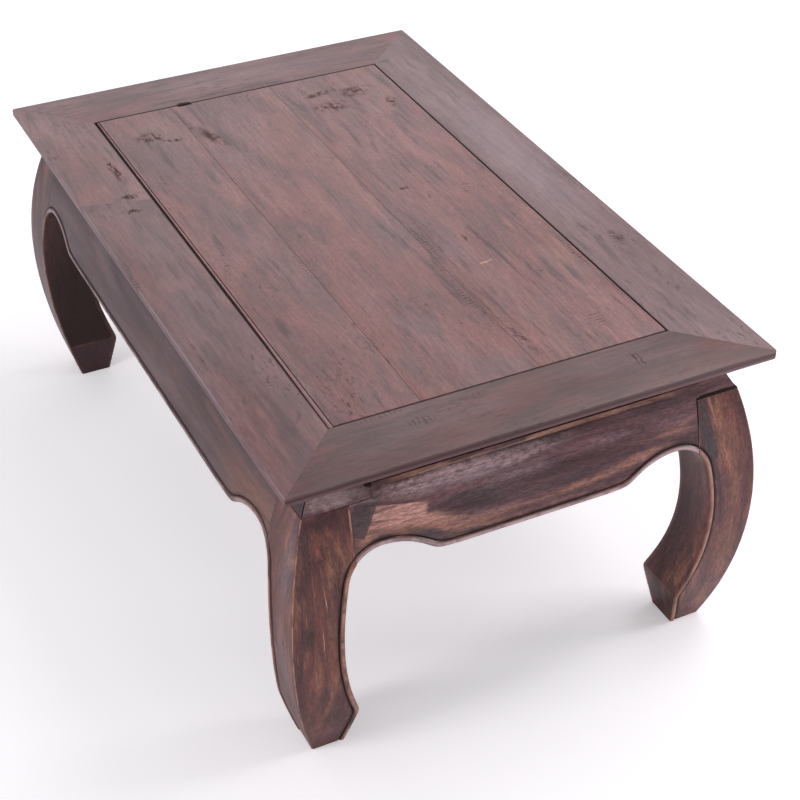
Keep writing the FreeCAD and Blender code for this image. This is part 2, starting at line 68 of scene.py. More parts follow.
MM = 0.001
HALF_WIDTH = cad_box[1].x
HALF_LENGTH = cad_box[1].y
TABLE_HEIGHT = cad_box[1].z
QUARTER_TURN = math.pi / 2

# Heights, insets and gaps of the joinery. An inset is a distance in from the outer edge of the top.
TOP_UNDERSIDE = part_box("top_rail_near")[0].z
RAIL_WIDTH = 94 * MM
NOSE_INSET = 5 * MM
NOSE_HEIGHT = 419 * MM
UNDERCUT_INSET = 26 * MM
PANEL_HALF_WIDTH = HALF_WIDTH - RAIL_WIDTH
PANEL_HALF_LENGTH = HALF_LENGTH - RAIL_WIDTH
TONGUE_LOW = 419.2 * MM
TONGUE_HIGH = 426.8 * MM
TONGUE_REACH = 9.4 * MM
GROOVE_LOW = 419 * MM
GROOVE_HIGH = 427 * MM
GROOVE_DEPTH = 9.6 * MM
LEG_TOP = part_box("waist_near")[0].z
WAIST_FOOT_INSET = 31 * MM
WAIST_TOP_INSET = 50 * MM
WAIST_HOLLOW = 2 * MM
LEDGE_TOP = 386.3 * MM
LEDGE_LEFT = -200 * MM
LEDGE_RIGHT = 236 * MM
SLOT_TOP = 388.4 * MM
SLOT_LEFT = -143 * MM
SLOT_RIGHT = 183 * MM
CARCASS_BACK = 62 * MM
SEAM_INSET = 88.5 * MM
SLOT_DEPTH = 7 * MM
HOLLOW_ROWS = 9
HEAD_GAP_START = 3 * MM
HEAD_GAP_END = 4 * MM
RIM_EASE = 5 * MM
CORNER_CUTS = (22.5, 45, 67.5)
SPLICE_PLACE = 173 * MM
SPLICE_WAY = Vector((24, 104, 0)).normalized()
PLANK_EDGES = (-216.5 * MM, -107.4 * MM, 47.9 * MM, 131 * MM, 223.5 * MM)
PLANK_JOINTS = (0.45 * MM, 0.4 * MM, 0.12 * MM)
SLIP_RECESS = 16 * MM
SLIP_SIDE_GAP = 1.1 * MM
SLIP_TOP_GAP = 0.3 * MM
SLIP_FLARE = 2.8 * MM
SLIP_FLARE_START = -140 * MM
GROOVE_FACE_REACH = 100 * MM
CHIP = (-87 * MM, 10.4 * MM)
CHIP_RUN = 4 * MM
CHIP_CUTS = (-1, -0.3, 0.4, 1)
CHIP_CORE = 0.6
CHIP_PUSH = (0, -2.4 * MM, -4 * MM)
FAR_GAP_SHARE = 0.6
MITRE_SHARE = 0.7
WAIST_EASE = 0.8 * MM
SLIP_EASE = 0.3 * MM

# Centres and radii of the arcs that the aprons and legs are sawn to, as (inset, height, radius).
BROW_ARC = (533 * MM, 205 * MM, 530 * MM)
CALF_ARC = (629.3 * MM, 205 * MM, 626.3 * MM)
ARCH_ARC = (121.9 * MM, 268 * MM, 45 * MM)
CUSP_ARC = (121.9 * MM, 221.3 * MM, 91.7 * MM)
SHIN_ARC = (441.9 * MM, 196 * MM, 373 * MM)
INSTEP_ARC = (435.1 * MM, 196 * MM, 366.2 * MM)
SHIN_TANGENT = Vector((-43.9, 9.9)).normalized()
APRON_BOTTOM = 286 * MM
FOOT_INSET = 81 * MM
TOE_RIDGE = 62 * MM
TOE_LEAN = 13.4 / 62
TOE_BLEND = 2.5 * MM
CUSP_BLEND = 8 * MM

# Steps in millimetres away from the sawn edge, over which the bead and its groove are carved, and where
# along them the wear, the grime and its thin film beside the groove lie.
BEAD_STEPS = (0, 0.25, 0.7, 1.4, 2.4, 3.5, 4.6, 5.5, 6.2, 6.8, 7.4, 8.1, 8.9, 9.8, 11, 13)
BEAD_REACH = BEAD_STEPS[-1] * MM
BEAD_MIDDLE = 3.5 * MM
BEAD_HALF = 3.4 * MM
BEAD_FOOT = 1.2 * MM
BEAD_FADE = 0.5 * MM
GROOVE_MIDDLE = 7.5 * MM
GROOVE_HALF = 1.7 * MM
GROOVE_START_SHARE = 0.6
WEAR_MIDDLE = 3.8 * MM
WEAR_FADES = (3.7 * MM, 2.4 * MM)
DIRT_MIDDLE = 7.4 * MM
DIRT_HALF = 1.3 * MM
FILM_START = 8.5 * MM
FILM_FADE = 9 * MM
FILM_MOST = 0.8

# Rows, columns and small roundings of the apron and leg meshes.
APRON_ROWS = (0.08, 0.2, 0.32, 0.44, 0.56, 0.68, 0.8, 0.9, 0.97)
SEAM_COLUMNS = (0, 0.25 * MM, 0.6 * MM)
ARCH_STEP = 2 * MM
ARCH_COLUMNS = 61
END_COLUMNS = 16
SIDE_COLUMNS = 24
FLUSH_STEP = 0.8 * MM
TOP_ROUND = 1.2 * MM
ARRIS_DROP = 0.9 * MM
ARRIS_WEAR = 0.5
LIP_DROP = 0.1 * MM
LIP_SINK = 1 * MM
LEG_FACE_SHARES = (0.03, 0.1, 0.22, 0.36, 0.5, 0.64, 0.78, 0.9, 0.97)
LEG_INNER_SHARES = (0.1, 0.3, 0.5, 0.7, 0.9)
INNER_ROUND = 1.2 * MM
INNER_CUT = 0.35 * MM
RIDGE_HALF = 1.5 * MM
RIDGE_WEAR = 0.25
JOINTED_FROM = 295 * MM
SEAM_EASE = 0.5 * MM
SEAM_SINK = 0.4 * MM
SEAM_CLEAR = 0.6 * MM
SEAM_BEAD = 1 * MM
SEAM_WEAR = 0.8

# How squarely a face has to look along an axis to be picked, and how close points merge.
FACING = 0.9
TILTED_FACING = 0.5
MERGE_GAP = 0.02 * MM
RING_MERGE_GAP = 0.01 * MM
SHORTEST_EDGE = 0.005 * MM

# Where each side's parts point: turn from the near side, half run and distance from the middle.
SIDES = {
    "near": (0, HALF_WIDTH, HALF_LENGTH),
    "right": (1, HALF_LENGTH, HALF_WIDTH),
    "far": (2, HALF_WIDTH, HALF_LENGTH),
    "left": (3, HALF_LENGTH, HALF_WIDTH),
}
CORNERS = {
    "near_left": (0, -1, -1),
    "near_right": (1, 1, -1),
    "far_right": (2, 1, 1),
    "far_left": (3, -1, 1),
}

# Grain directions, as the turn that lays a pattern's first axis along the grain.
ALONG_X = (0, 0, 0)
ALONG_Y = (0, 0, QUARTER_TURN)
ALONG_Z = (0, -QUARTER_TURN, 0)
SEED_STRIDE = (0.731, 1.377, 0.419)

# The studio: lamps by place, aim and size, and the camera by its place and its right, top and back.
FLOOR_SIZE = 14
SKY_COLOUR = (0.985, 0.975, 1.0, 1)
LAMPS = {
    "back": ((0.5, 2.9, 2.0), (0, 0.1, 0.35), (3.0, 1.8)),
    "top": ((1.4, 0.3, 2.4), (0.1, 0.1, 0.4), (1.6, 1.6)),
    "left": ((-2.1, -0.5, 1.45), (0, 0, 0.1), (0.6, 0.6)),
    "right": ((2.3, -0.9, 1.15), (0, 0, 0.15), (0.9, 0.8)),
}
CAMERA_PLACE = (-0.8605, -1.8575, 1.6266)
CAMERA_AXES = ((0.89613, -0.44376, 0.00511), (0.25768, 0.52967, 0.80812), (-0.36132, -0.72286, 0.589))
SENSOR_WIDTH = 36

# How deep marks reach into the wood, and where those on the sides have their middles, in millimetres.
TOP_MARK_DEPTH = 30
SIDE_MARK_DEPTH = 50
NEAR_MARK_PLACE = -480
LEFT_MARK_PLACE = -300


def on_top(kind, x, y, length, width, angle, share):
    """A mark on the top: its middle and half sizes in millimetres, its angle in degrees and its share."""
    size = Vector((length, width, TOP_MARK_DEPTH)) * MM
    return kind, Vector((x * MM, y * MM, TABLE_HEIGHT)), size, (0, 0, math.radians(angle)), share


def on_near(kind, x, z, length, width, angle, share):
    """A mark on a face that looks towards the near side."""
    size = Vector((length, SIDE_MARK_DEPTH, width)) * MM
    return kind, Vector((x, NEAR_MARK_PLACE, z)) * MM, size, (0, -math.radians(angle), 0), share


def on_left(kind, y, z, length, width, angle, share):
    """A mark on a face that looks towards the left."""
    size = Vector((length, SIDE_MARK_DEPTH, width)) * MM
    turn = (0, -math.radians(angle), QUARTER_TURN)
    return kind, Vector((LEFT_MARK_PLACE, y, z)) * MM, size, turn, share


def square_mark(kind, middle, size, share):
    """A mark that lies square to the table, by its middle and half sizes in millimetres."""
    return kind, Vector(middle) * MM, Vector(size) * MM, (0, 0, 0), share


def top_marks(*rows):
    """Marks on the top, in the order they are laid."""
    return [on_top(*row) for row in rows]


def near_marks(*rows):
    """Marks on near faces, in the order they are laid."""
    return [on_near(*row) for row in rows]


def left_marks(*rows):
    """Marks on left faces, in the order they are laid."""
    return [on_left(*row) for row in rows]


# Stains, saw nicks, knots and rubbed patches of this table, piece by piece, with some marks of painted shade
# and painted light.
TOP_MARKS = {
    "near": top_marks(
        ("nicks", -124, -438, 26, 11, 0, 0.75), ("specks", -70, -428, 60, 12, 5, 0.3),
        ("nicks", -46, -421, 16, 9, 10, 0.5), ("nicks", 159, -442, 9, 20, 0, 0.95),
        ("nicks", 51, -490, 12, 8, 0, 0.6), ("warm", 190, -465, 60, 8, 2, 0.3),
        # The wide grey at -190, -450 is painted shade over the near rail's left end.
        ("grey", -190, -450, 110, 60, 0, 0.25), ("nicks", -165, -411, 50, 4, 0, 0.8)),
    "far": top_marks(
        ("stain", 44, 479, 70, 3, -1, 0.35), ("grey", 70, 444, 75, 6, 1, 0.5),
        ("grey", -110, 458, 90, 5, 3, 0.35), ("pit", -87, 408, 13, 4, 0, 0.9),
        ("lilac", 30, 455, 220, 40, 0, 0.25)),
    "right": top_marks(
        ("specks", 285, -190, 24, 12, 90, 0.9), ("nicks", 287, -196, 26, 12, 70, 0.55),
        ("grey", 240, 409, 14, 8, 0, 0.7), ("grey", 276, -70, 90, 14, 90, 0.35),
        ("grey", 262, 170, 110, 12, 90, 0.3), ("warm", 255, -120, 50, 5, 88, 0.25),
        ("lilac", 275, 60, 330, 60, 90, 0.65)),
    "left_near": top_marks(
        ("warm", -230, -109, 42, 9, 90, 0.75), ("warm", -231, -40, 60, 7, 92, 0.45),
        ("warm", -236, 60, 50, 8, 90, 0.35), ("nicks", -315, -21, 56, 4, 88, 0.8),
        ("specks", -262, 142, 22, 8, -8, 1.0), ("stain", -259, 143, 8, 6, 0, 0.8),
        ("nicks", -248, -300, 14, 8, 80, 0.5), ("grey", -268, -150, 120, 14, 91, 0.4),
        # The wide grey at -270, -360 is painted shade over the near end of the left rail.
        ("grey", -270, -360, 130, 45, 90, 0.5), ("grey", -262, 110, 60, 20, 88, 0.35),
        ("stain", -245, -372, 20, 3, 60, 0.4)),
    "left_far": top_marks(
        ("specks", -243, 262, 50, 9, 94, 1.0), ("stain", -246, 240, 46, 4, 95, 0.7),
        ("specks", -247, 181, 24, 9, 10, 1.0), ("stain", -250, 181, 14, 5, 10, 0.9),
        ("grey", -270, 300, 110, 10, 92, 0.35), ("warm", -280, 210, 26, 12, 60, 0.45),
        ("line", -308, 450, 51, 0.6, 79.5, 0.65), ("specks", -305, 330, 14, 5, 70, 0.5)),
    "plank_1": top_marks(
        ("grey", -163, 332, 46, 24, 80, 0.45), ("specks", -166, 328, 30, 20, 0, 1.0),
        ("specks", -141, 307, 24, 9, -10, 1.0), ("stain", -155, 320, 3, 3, 0, 0.9),
        ("grey", -190, -198, 36, 12, 84, 0.55), ("grey", -128, 190, 70, 9, 86, 0.4),
        ("grey", -150, 40, 60, 10, 92, 0.3), ("warm", -196, 60, 90, 10, 90, 0.3),
        ("warm", -208, -250, 60, 5, 90, 0.4), ("nicks", -112, -84, 44, 4, 90, 0.9),
        ("nicks", -196, -30, 52, 4, 80, 0.7)),
    "plank_2": top_marks(
        ("stain", -89, 303, 38, 14, 104, 0.85), ("specks", -85, 290, 46, 16, 104, 0.7),
        ("grey", -70, 260, 90, 12, 94, 0.55), ("grey", -98, 120, 80, 8, 92, 0.45),
        ("specks", -60, 236, 10, 4, 100, 0.9), ("specks", -100, 330, 12, 5, 0, 0.8),
        ("pit", -87, 404, 12, 3.5, 0, 0.95), ("nicks", 41, -240, 40, 7, 91, 0.95),
        ("vein", 45, -290, 90, 2.2, 91, 0.6), ("vein", -10, -318, 40, 1.8, 94, 0.4),
        ("grey", 34, -200, 130, 8, 91, 0.75), ("grey", 0, -330, 60, 6, 93, 0.45),
        ("specks", -4, -257, 12, 3, 95, 0.9), ("specks", 8, -282, 20, 4, 95, 0.8),
        ("warm", -92, -313, 18, 6, 92, 0.6), ("warm", 12, -246, 12, 6, 92, 0.7),
        ("warm", -20, 60, 120, 9, 90, 0.35), ("nicks", -70, -330, 12, 12, 90, 0.3),
        ("streak", 29, -212, 70, 3, 89, 0.7)),
    "plank_3": top_marks(
        ("grey", 60, 344, 40, 6, 92, 0.55), ("specks", 104, 350, 32, 9, 8, 1.0),
        ("stain", 96, 347, 22, 7, 10, 0.8), ("specks", 105, 305, 40, 24, 0, 0.8),
        ("vein", 94, 197, 40, 5, 86, 0.7), ("vein", 109, 168, 32, 4, 80, 0.65),
        ("grey", 71, 236, 40, 6, 95, 0.55), ("specks", 92, 41, 18, 5, 15, 0.9),
        ("nicks", 94, 121, 16, 8, 90, 0.45), ("nicks", 54, -100, 46, 6.5, 90, 0.95),
        ("grey", 52, -90, 90, 6, 91, 0.55), ("grey", 64, -263, 80, 5, 94, 0.85),
        ("grey", 85, -330, 60, 5, 96, 0.6), ("specks", 105, -109, 12, 3, 92, 0.9),
        ("scratch", 103, -173, 13, 2.2, 12, 0.9), ("warm", 70, -352, 16, 7, 94, 0.65),
        ("warm", 100, -60, 90, 7, 91, 0.4), ("grey", 123, -112, 66, 4, 92, 0.75),
        ("specks", 58, -345, 60, 9, 94, 0.7), ("vein", 61, -293, 52, 2.2, 93, 0.75),
        ("streak", 126.5, -167, 118, 2.4, 90, 0.95), ("streak", 67, -270, 92, 2.0, 90, 0.9),
        ("vein", 60, 215, 40, 2.6, 90, 0.5), ("vein", 52, -270, 100, 2.2, 91, 0.6),
        ("warm", 62, -290, 70, 10, 92, 0.5)),
    "plank_4": top_marks(
        ("specks", 159, 335, 36, 22, 10, 0.9), ("specks", 193, 280, 14, 24, 0, 1.0),
        ("stain", 150, 345, 20, 10, 0, 0.5), ("nicks", 170, 6, 26, 9, 78, 0.6),
        ("nicks", 161, -346, 18, 13, 90, 0.65), ("specks", 156, -221, 15, 3, 5, 0.7),
        ("warm", 195, -199, 44, 10, 92, 0.75), ("warm", 174, -92, 30, 7, 90, 0.6),
        ("warm", 180, -280, 90, 9, 92, 0.5), ("warm", 138, -366, 16, 6, 90, 0.7),
        ("warm", 205, 60, 120, 8, 91, 0.4), ("grey", 146, -180, 110, 5, 91, 0.5),
        ("grey", 186, -130, 70, 5, 90, 0.35), ("grey", 200, 120, 100, 7, 90, 0.35),
        ("nicks", 215, -200, 66, 4, 90, 0.8), ("streak", 146, -215, 40, 2, 91, 0.6)),
}
CARCASS_MARKS = {
    "apron_near": near_marks(
        ("warm", -150, 326, 85, 18, -9, 1.0), ("warm", -96, 312, 60, 12, -8, 0.9),
        ("warm", -212, 330, 26, 16, 60, 0.9), ("warm", 70, 312, 90, 8, 3, 0.6),
        ("warm", 150, 322, 60, 9, 6, 0.7), ("warm", 200, 340, 40, 8, 0, 0.5),
        ("pale", -165, 334, 60, 8, -7, 0.75), ("pale", -120, 322, 50, 6, -10, 0.5),
        ("sap", -171, 348, 38, 9, -11, 0.95), ("block", -213, 360, 32, 13.5, 61, 0.85),
        ("grey", -70, 338, 60, 14, -12, 0.8), ("grey", 40, 325, 90, 12, -3, 0.5),
        # The blooms here are partly the lacquer's pale bloom and partly painted light in the shade under the
        # top's overhang.
        ("lilac", -90, 366, 130, 14, 0, 0.9), ("bloom", -120, 371, 110, 10, 1, 0.85),
        ("bloom", -20, 368, 100, 8, 2, 0.65), ("lilac", -20, 350, 70, 12, 0, 0.5),
        ("lilac", 110, 356, 60, 8, 0, 0.3), ("dusk", -80, 330, 70, 12, -8, 0.7),
        ("dusk", 60, 342, 90, 12, 4, 0.6), ("dusk", 120, 303, 110, 9, 8, 0.6),
        ("stain", 215, 318, 18, 4, -20, 0.6), ("grey", -138, 311, 46, 9, -24, 1.0),
        ("grey", -85, 298, 50, 5, -3, 0.8), ("grey", -195, 322, 36, 5, 8, 0.8)),
    "apron_left": left_marks(
        ("warm", -370, 322, 150, 60, 0, 0.42)),
    "leg_near_left": near_marks(
        ("dusk", -294, 218, 30, 18, 70, 0.9), ("dusk", -270, 362, 14, 40, 90, 0.8),
        ("dusk", -298, 300, 34, 12, 86, 0.7), ("dusk", -300, 130, 60, 9, 84, 0.6),
        ("stain", -292, 221, 12, 6, 70, 1.0), ("warm", -262, 300, 50, 9, 88, 0.7),
        ("warm", -283, 150, 60, 11, 86, 0.75), ("thread", -270, 266, 26, 0.9, 95, 1.0),
        ("thread", -275, 205, 30, 0.8, 92, 0.8), ("thread", -283, 275, 44, 0.7, 91, 0.5),
        ("edge", -231, 336, 36, 1.4, 88, 0.8), ("warm", -300, 310, 30, 6, 88, 0.5),
        ("warm", -262, 120, 60, 6, 84, 0.55), ("stain", -300, 350, 16, 8, 20, 0.5),
        ("line", -270, 318, 8, 0.6, 15, 0.8),
        ("warm", -250, 320, 40, 4, 80, 0.35)) + left_marks(
        ("lilac", -466, 300, 90, 22, 90, 0.35), ("lilac", -462, 170, 90, 20, 88, 0.35),
        ("warm", -455, 340, 26, 7, 90, 0.6), ("specks", -470, 190, 30, 5, 88, 0.7)),
    "leg_near_right": near_marks(
        ("warm", 280, 310, 60, 16, 96, 0.5), ("warm", 287, 240, 60, 11, 95, 0.6),
        ("warm", 275, 160, 60, 9, 84, 0.6), ("block", 240, 326, 44, 10, 102, 0.8),
        ("grey", 246, 305, 62, 13, 102, 1.0), ("grey", 258, 255, 44, 9, 104, 1.0),
        ("grey", 266, 205, 36, 5, 100, 0.7), ("dusk", 259, 262, 44, 5, 104, 1.0),
        ("dusk", 266, 215, 46, 5, 95, 1.0), ("dusk", 300, 215, 90, 6, 92, 0.8),
        ("warm", 258, 345, 34, 8, 104, 1.0), ("warm", 271, 285, 50, 8, 106, 1.0),
        ("edge", 251, 350, 30, 2.0, 105, 0.8), ("scratch", 270, 286, 20, 0.9, 112, 0.8),
        ("stain", 303, 262, 12, 2.5, 95, 0.9), ("line", 267, 349, 9, 0.5, 12, 0.8),
        # The gap mark paints shade on the leg's head in the gap under the waist.
        ("gap", 277, 372.4, 70, 3, 0, 0.97), ("dusk", 272, 200, 50, 12, 100, 0.7),
        ("dusk", 290, 350, 24, 14, 90, 0.5)) + [
        # Painted shade: the dusk cloud darkens the near right leg's inner face, and the shade mark darkens
        # its foot.
        square_mark("dusk", (240, -440, 190), (40, 42, 220), 0.9),
        square_mark("shade", (228, -455, 30), (34, 60, 46), 0.6)],
    "leg_far_left": (
        square_mark("dusk", (-308, 450, 190), (40, 80, 230), 0.7),
        # Painted shade over the far left leg's inner faces under the table. The toe mark then lays dark plum
        # over the toe facet, lighter than the painted shade above.
        square_mark("shade", (-265, 413, 120), (100, 66, 330), 0.98),
        square_mark("toe", (-265, 415, 31), (70, 60, 31), 0.5)),
    "waist_near": near_marks(
        ("warm", 60, 394, 180, 7, 0, 0.5), ("warm", 200, 393, 40, 9, 0, 0.6),
        # The lilacs and blooms on these lines are partly the lacquer's pale bloom and partly painted light
        # in the shade under the top's overhang.
        ("stain", 190, 392, 14, 5, 30, 0.8), ("lilac", -240, 383, 60, 18, 0, 0.95),
        ("bloom", -255, 384, 64, 20, 0, 1.0), ("lilac", -90, 376, 130, 8, 0, 0.9),
        ("bloom", -120, 376, 130, 8, 0, 1.0), ("bloom", -50, 375, 140, 7, 0, 0.9),
        ("edge", 14, 383.8, 214, 2.6, 0, 0.95), ("line", 14, 380.6, 214, 0.45, 0, 0.6),
        ("pit", -203, 386, 6, 4.5, -40, 0.97)),
}


def a_colour(name, description, default):
    """A colour that a user can change."""
    return FloatVectorProperty(
        name=name, description=description, subtype="COLOR", size=3, min=0, max=1, default=default)


def a_length(name, description, default, least, most):
    """A length that a user can change, given in millimetres."""
    return FloatProperty(
        name=name, description=description, unit="LENGTH",
        default=default * MM, min=least * MM, max=most * MM)


def a_power(name, description, default):
    """The power of a lamp, in watts."""
    return FloatProperty(name=name, description=description, default=default, min=0, max=1000, unit="POWER")


class TableSizes(bpy.types.PropertyGroup):
    """Sizes of the finish that a maker would change."""

    rim_round: a_length("Rim rounding", "Rounding of the top's outer arris", 1.3, 0.2, 4)
    corner_round: a_length("Corner rounding", "Radius of the top's corners seen from above", 3.5, 0.5, 12)
    rubbed_corner: a_length("Rubbed corner", "Radius of the near right corner seen from above", 5.5, 0.5, 12)
    waist_gap: a_length("Waist gap", "Width of the open mitres of the waist", 1.2, 0, 3)
    joint_gap: a_length("Joint gap", "Width of the line at mitres and at the splice", 0.12, 0, 2)
    panel_gap: a_length("Panel gap", "Open line between the panel and the near and right rails", 1.9, 0.2, 3)
    panel_chamfer: a_length("Panel chamfer", "Eased edge round the panel", 0.6, 0.1, 3)
    slip_width: a_length("Slip width", "Width of the slip along the panel's left edge", 2.2, 0.5, 5)
    plank_chamfer: a_length("Plank chamfer", "Eased edge between planks", 0.25, 0.1, 2)
    bead_rise: a_length("Bead rise", "How far the carved bead stands proud", 1.7, 0, 4)
    groove_sink: a_length("Groove sink", "Depth of the groove beside the bead", 1.5, 0, 4)
    arris_round: a_length("Leg arris rounding", "Radius of the legs' outer corners", 2.6, 0.5, 8)
    sunk_head: a_length("Sunk leg head", "How low the head of the near right leg stands", 2.2, 0, 6)
    head_gap: a_length("Head gap", "How far the waist is cut back over the near right leg", 1, 0, 5)
    leg_shift: a_length("Leg shift", "How far the near right leg stands off the near apron", 1.2, 0, 1.2)


class TableColours(bpy.types.PropertyGroup):
    """Colours of the stain, the lacquer haze and the wear."""

    # Painted shade: this dark brown darkens the top's rim band and the underside of its nose.
    painted_shade_dark: a_colour("Painted rim shade", "Dark brown painted as shade on the top's rim and under its nose", (0.07, 0.027, 0.025))
    stain_red: a_colour("Red stain", "Main reddish brown of the stain", (0.186, 0.058, 0.046))
    stain_rose: a_colour("Rose stain", "Rubbed red of the near right leg", (0.202, 0.068, 0.061))
    stain_warm: a_colour("Warm wood", "Orange brown wood where the stain is thin", (0.37, 0.155, 0.095))
    amber: a_colour("Amber wood", "Light orange streaks of the near apron", (0.47, 0.215, 0.145))
    top_rose: a_colour("Rose top", "Main colour of the planks", (0.25, 0.113, 0.110))
    top_grey: a_colour("Grey top", "Grey of the rails and of the planks' streaks", (0.176, 0.114, 0.119))
    top_warm: a_colour("Warm streak", "Orange pink streaks in the planks", (0.31, 0.158, 0.142))
    haze: a_colour("Haze", "Grey lilac bloom of the lacquer", (0.30, 0.215, 0.235))
    # Bloom is partly the lacquer's pale bloom and partly painted light in the shade under the top's
    # overhang.
    bloom: a_colour("Bloom", "Pale pink bloom and painted light on the near apron and waist", (0.66, 0.445, 0.45))
    worn: a_colour("Worn edge", "Bare orange wood on rubbed edges", (0.56, 0.29, 0.21))
    bead_pink: a_colour("Bead pink", "Pale pink of the aprons' rubbed beads", (0.68, 0.48, 0.48))
    grey_streak: a_colour("Grey streak", "Cool grey streaks and blocks in the wood", (0.075, 0.053, 0.058))
    sapwood: a_colour("Sapwood", "Pale patch in the near apron", (0.66, 0.345, 0.285))
    plum: a_colour("Plum stain", "Purple brown of the near apron", (0.184, 0.086, 0.097))
    # Slate is partly the grey brown of the side pieces and partly painted shade under the top's overhang.
    slate_and_shade: a_colour("Slate stain and shade", "Grey brown of the left side, with painted shade", (0.078, 0.0375, 0.042))
    # Painted shade: the near black that the shade marks lay on the far left leg's inner faces and the near
    # right foot.
    shadow: a_colour("Painted shade", "Near black painted as shade on inner faces and a foot", (0.021, 0.0072, 0.0056))
    dusk: a_colour("Dusk stain", "Dark plum clouds in the legs and aprons", (0.068, 0.025, 0.029))
    deposit: a_colour("Deposit", "Stain caught in dents and knots", (0.055, 0.02, 0.018))
    # Grime is real dirt in grooves and joints, and is also laid as painted shade in the top's gaps and on
    # the near right leg's head.
    grime: a_colour("Grime", "Dark dirt in grooves, joints and pores", (0.025, 0.008, 0.006))
    raw_wood: a_colour("Raw wood", "Unlacquered wood of the hidden parts", (0.21, 0.10, 0.062))
    screw_steel: a_colour("Screw steel", "Steel of the screws", (0.42, 0.40, 0.37))


class StageSettings(bpy.types.PropertyGroup):
    """Floor, light and lens of the studio."""

    floor_colour: a_colour("Floor", "Colour of the studio floor", (0.93, 0.9, 0.945))
    sky_strength: FloatProperty(
        name="Fill light", description="Strength of the even light from all round",
        default=0.43, min=0, max=3)
    left_power: a_power("Left lamp", "Power of the lamp at the left", 16)
    right_power: a_power("Right lamp", "Power of the lamp at the right", 26)
    back_power: a_power("Back lamp", "Power of the lamp that gives the top its sheen", 14)
    top_power: a_power("Top lamp", "Power of the lamp over the far right", 23)
    floor_glow: FloatProperty(
        name="Floor glow", description="White that is added to the floor as the camera sees it",
        default=0.31, min=0, max=1, subtype="FACTOR")
    lens: FloatProperty(
        name="Lens", description="Focal length of the camera",
        default=80.38, min=20, max=300, unit="CAMERA")


def clear_selection():
    """Goes to object mode with nothing selected."""
    if bpy.context.object and bpy.context.mode != "OBJECT":
        bpy.ops.object.mode_set(mode="OBJECT")
    bpy.ops.object.select_all(action="DESELECT")


def select_only(piece):
    """Goes to object mode with one piece selected and active."""
    clear_selection()
    piece.select_set(True)
    bpy.context.view_layer.objects.active = piece


def named(piece, name):
    """The piece with a name for its object and mesh."""
    piece.name = name
    piece.data.name = name
    return piece


def add_block(name, low, high):
    """A cube added at its size and place, with that place in its mesh."""
    clear_selection()
    middle = [(a + b) / 2 for a, b in zip(low, high)]
    size = [b - a for a, b in zip(low, high)]
    bpy.ops.mesh.primitive_cube_add(size=1, location=middle, scale=size)
    bpy.ops.object.transform_apply(location=True, rotation=True, scale=True)
    return named(bpy.context.object, name)


def copy_of(piece, name):
    """A copy of a piece with its own mesh."""
    select_only(piece)
    bpy.ops.object.duplicate(linked=False)
    return named(bpy.context.object, name)


def swing(piece, quarters, place=(0, 0, 0)):
    """Turns a piece by quarter turns about the upright axis, moves it, and applies both."""
    select_only(piece)
    piece.rotation_euler = (0, 0, quarters * QUARTER_TURN)
    piece.location = place
    bpy.ops.object.transform_apply(location=True, rotation=True, scale=True)
    return piece


def edit(piece):
    """Opens a piece in edit mode."""
    select_only(piece)
    bpy.ops.object.mode_set(mode="EDIT")


def leave_edit():
    """Closes edit mode."""
    bpy.ops.object.mode_set(mode="OBJECT")


def pick(piece, kind, test):
    """Selects only the vertices, edges or faces whose vertex places and normal pass a test."""
    bpy.ops.mesh.select_mode(type=kind)
    bpy.ops.mesh.select_all(action="DESELECT")
    shape = bmesh.from_edit_mesh(piece.data)
    shape.normal_update()
    if kind == "VERT":
        for vert in shape.verts:
            vert.select_set(test(vert.co))
    elif kind == "EDGE":
        for edge in shape.edges:
            edge.select_set(all(test(vert.co) for vert in edge.verts))
    else:
        for face in shape.faces:
            face.select_set(test(face.calc_center_median(), face.normal))
    bmesh.update_edit_mesh(piece.data)


def take_all():
    """Selects the whole of the open piece."""
    bpy.ops.mesh.select_all(action="SELECT")


def slice_off(point, normal):
    """Saws the open piece along a plane and drops what lies on the normal's side."""
    take_all()
    bpy.ops.mesh.bisect(plane_co=point, plane_no=normal, use_fill=True, clear_outer=True)


def score(point, normal):
    """Adds a line of edges round the open piece along a plane."""
    take_all()
    bpy.ops.mesh.bisect(plane_co=point, plane_no=normal)


def push(piece, test, way):
    """Extrudes the faces that pass a test by a vector."""
    pick(piece, "FACE", test)
    bpy.ops.mesh.extrude_region_move(TRANSFORM_OT_translate={"value": way})


def ease(piece, test, width, steps=2):
    """Bevels the edges whose ends pass a test."""
    pick(piece, "EDGE", test)
    bpy.ops.mesh.bevel(offset=width, offset_type="OFFSET", segments=steps, clamp_overlap=True)


def tidy_mesh(piece, angle_degrees=32):
    """Merges doubles, points the normals out and shades smooth across soft angles."""
    edit(piece)
    take_all()
    bpy.ops.mesh.remove_doubles(threshold=MERGE_GAP)
    bpy.ops.mesh.dissolve_degenerate(threshold=SHORTEST_EDGE)
    take_all()
    bpy.ops.mesh.normals_make_consistent(inside=False)
    leave_edit()
    bpy.ops.object.shade_smooth_by_angle(angle=math.radians(angle_degrees))


def near_to(value, goal, slack=0.05 * MM):
    """Whether two lengths agree."""
    return abs(value - goal) < slack


def dress(piece, node, material):
    """Names a finished piece after the node it stands for, dresses it and lets it ride on the table."""
    named(piece, f"wood_{node}")
    piece.data.materials.clear()
    piece.data.materials.append(material)
    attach(piece, "root")
    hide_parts(node)


def scaled(colour, share):
    """A colour made lighter or darker."""
    return [channel * share for channel in colour]


def blended(first, second, share):
    """A colour between two others."""
    return [a * (1 - share) + b * share for a, b in zip(first, second)]


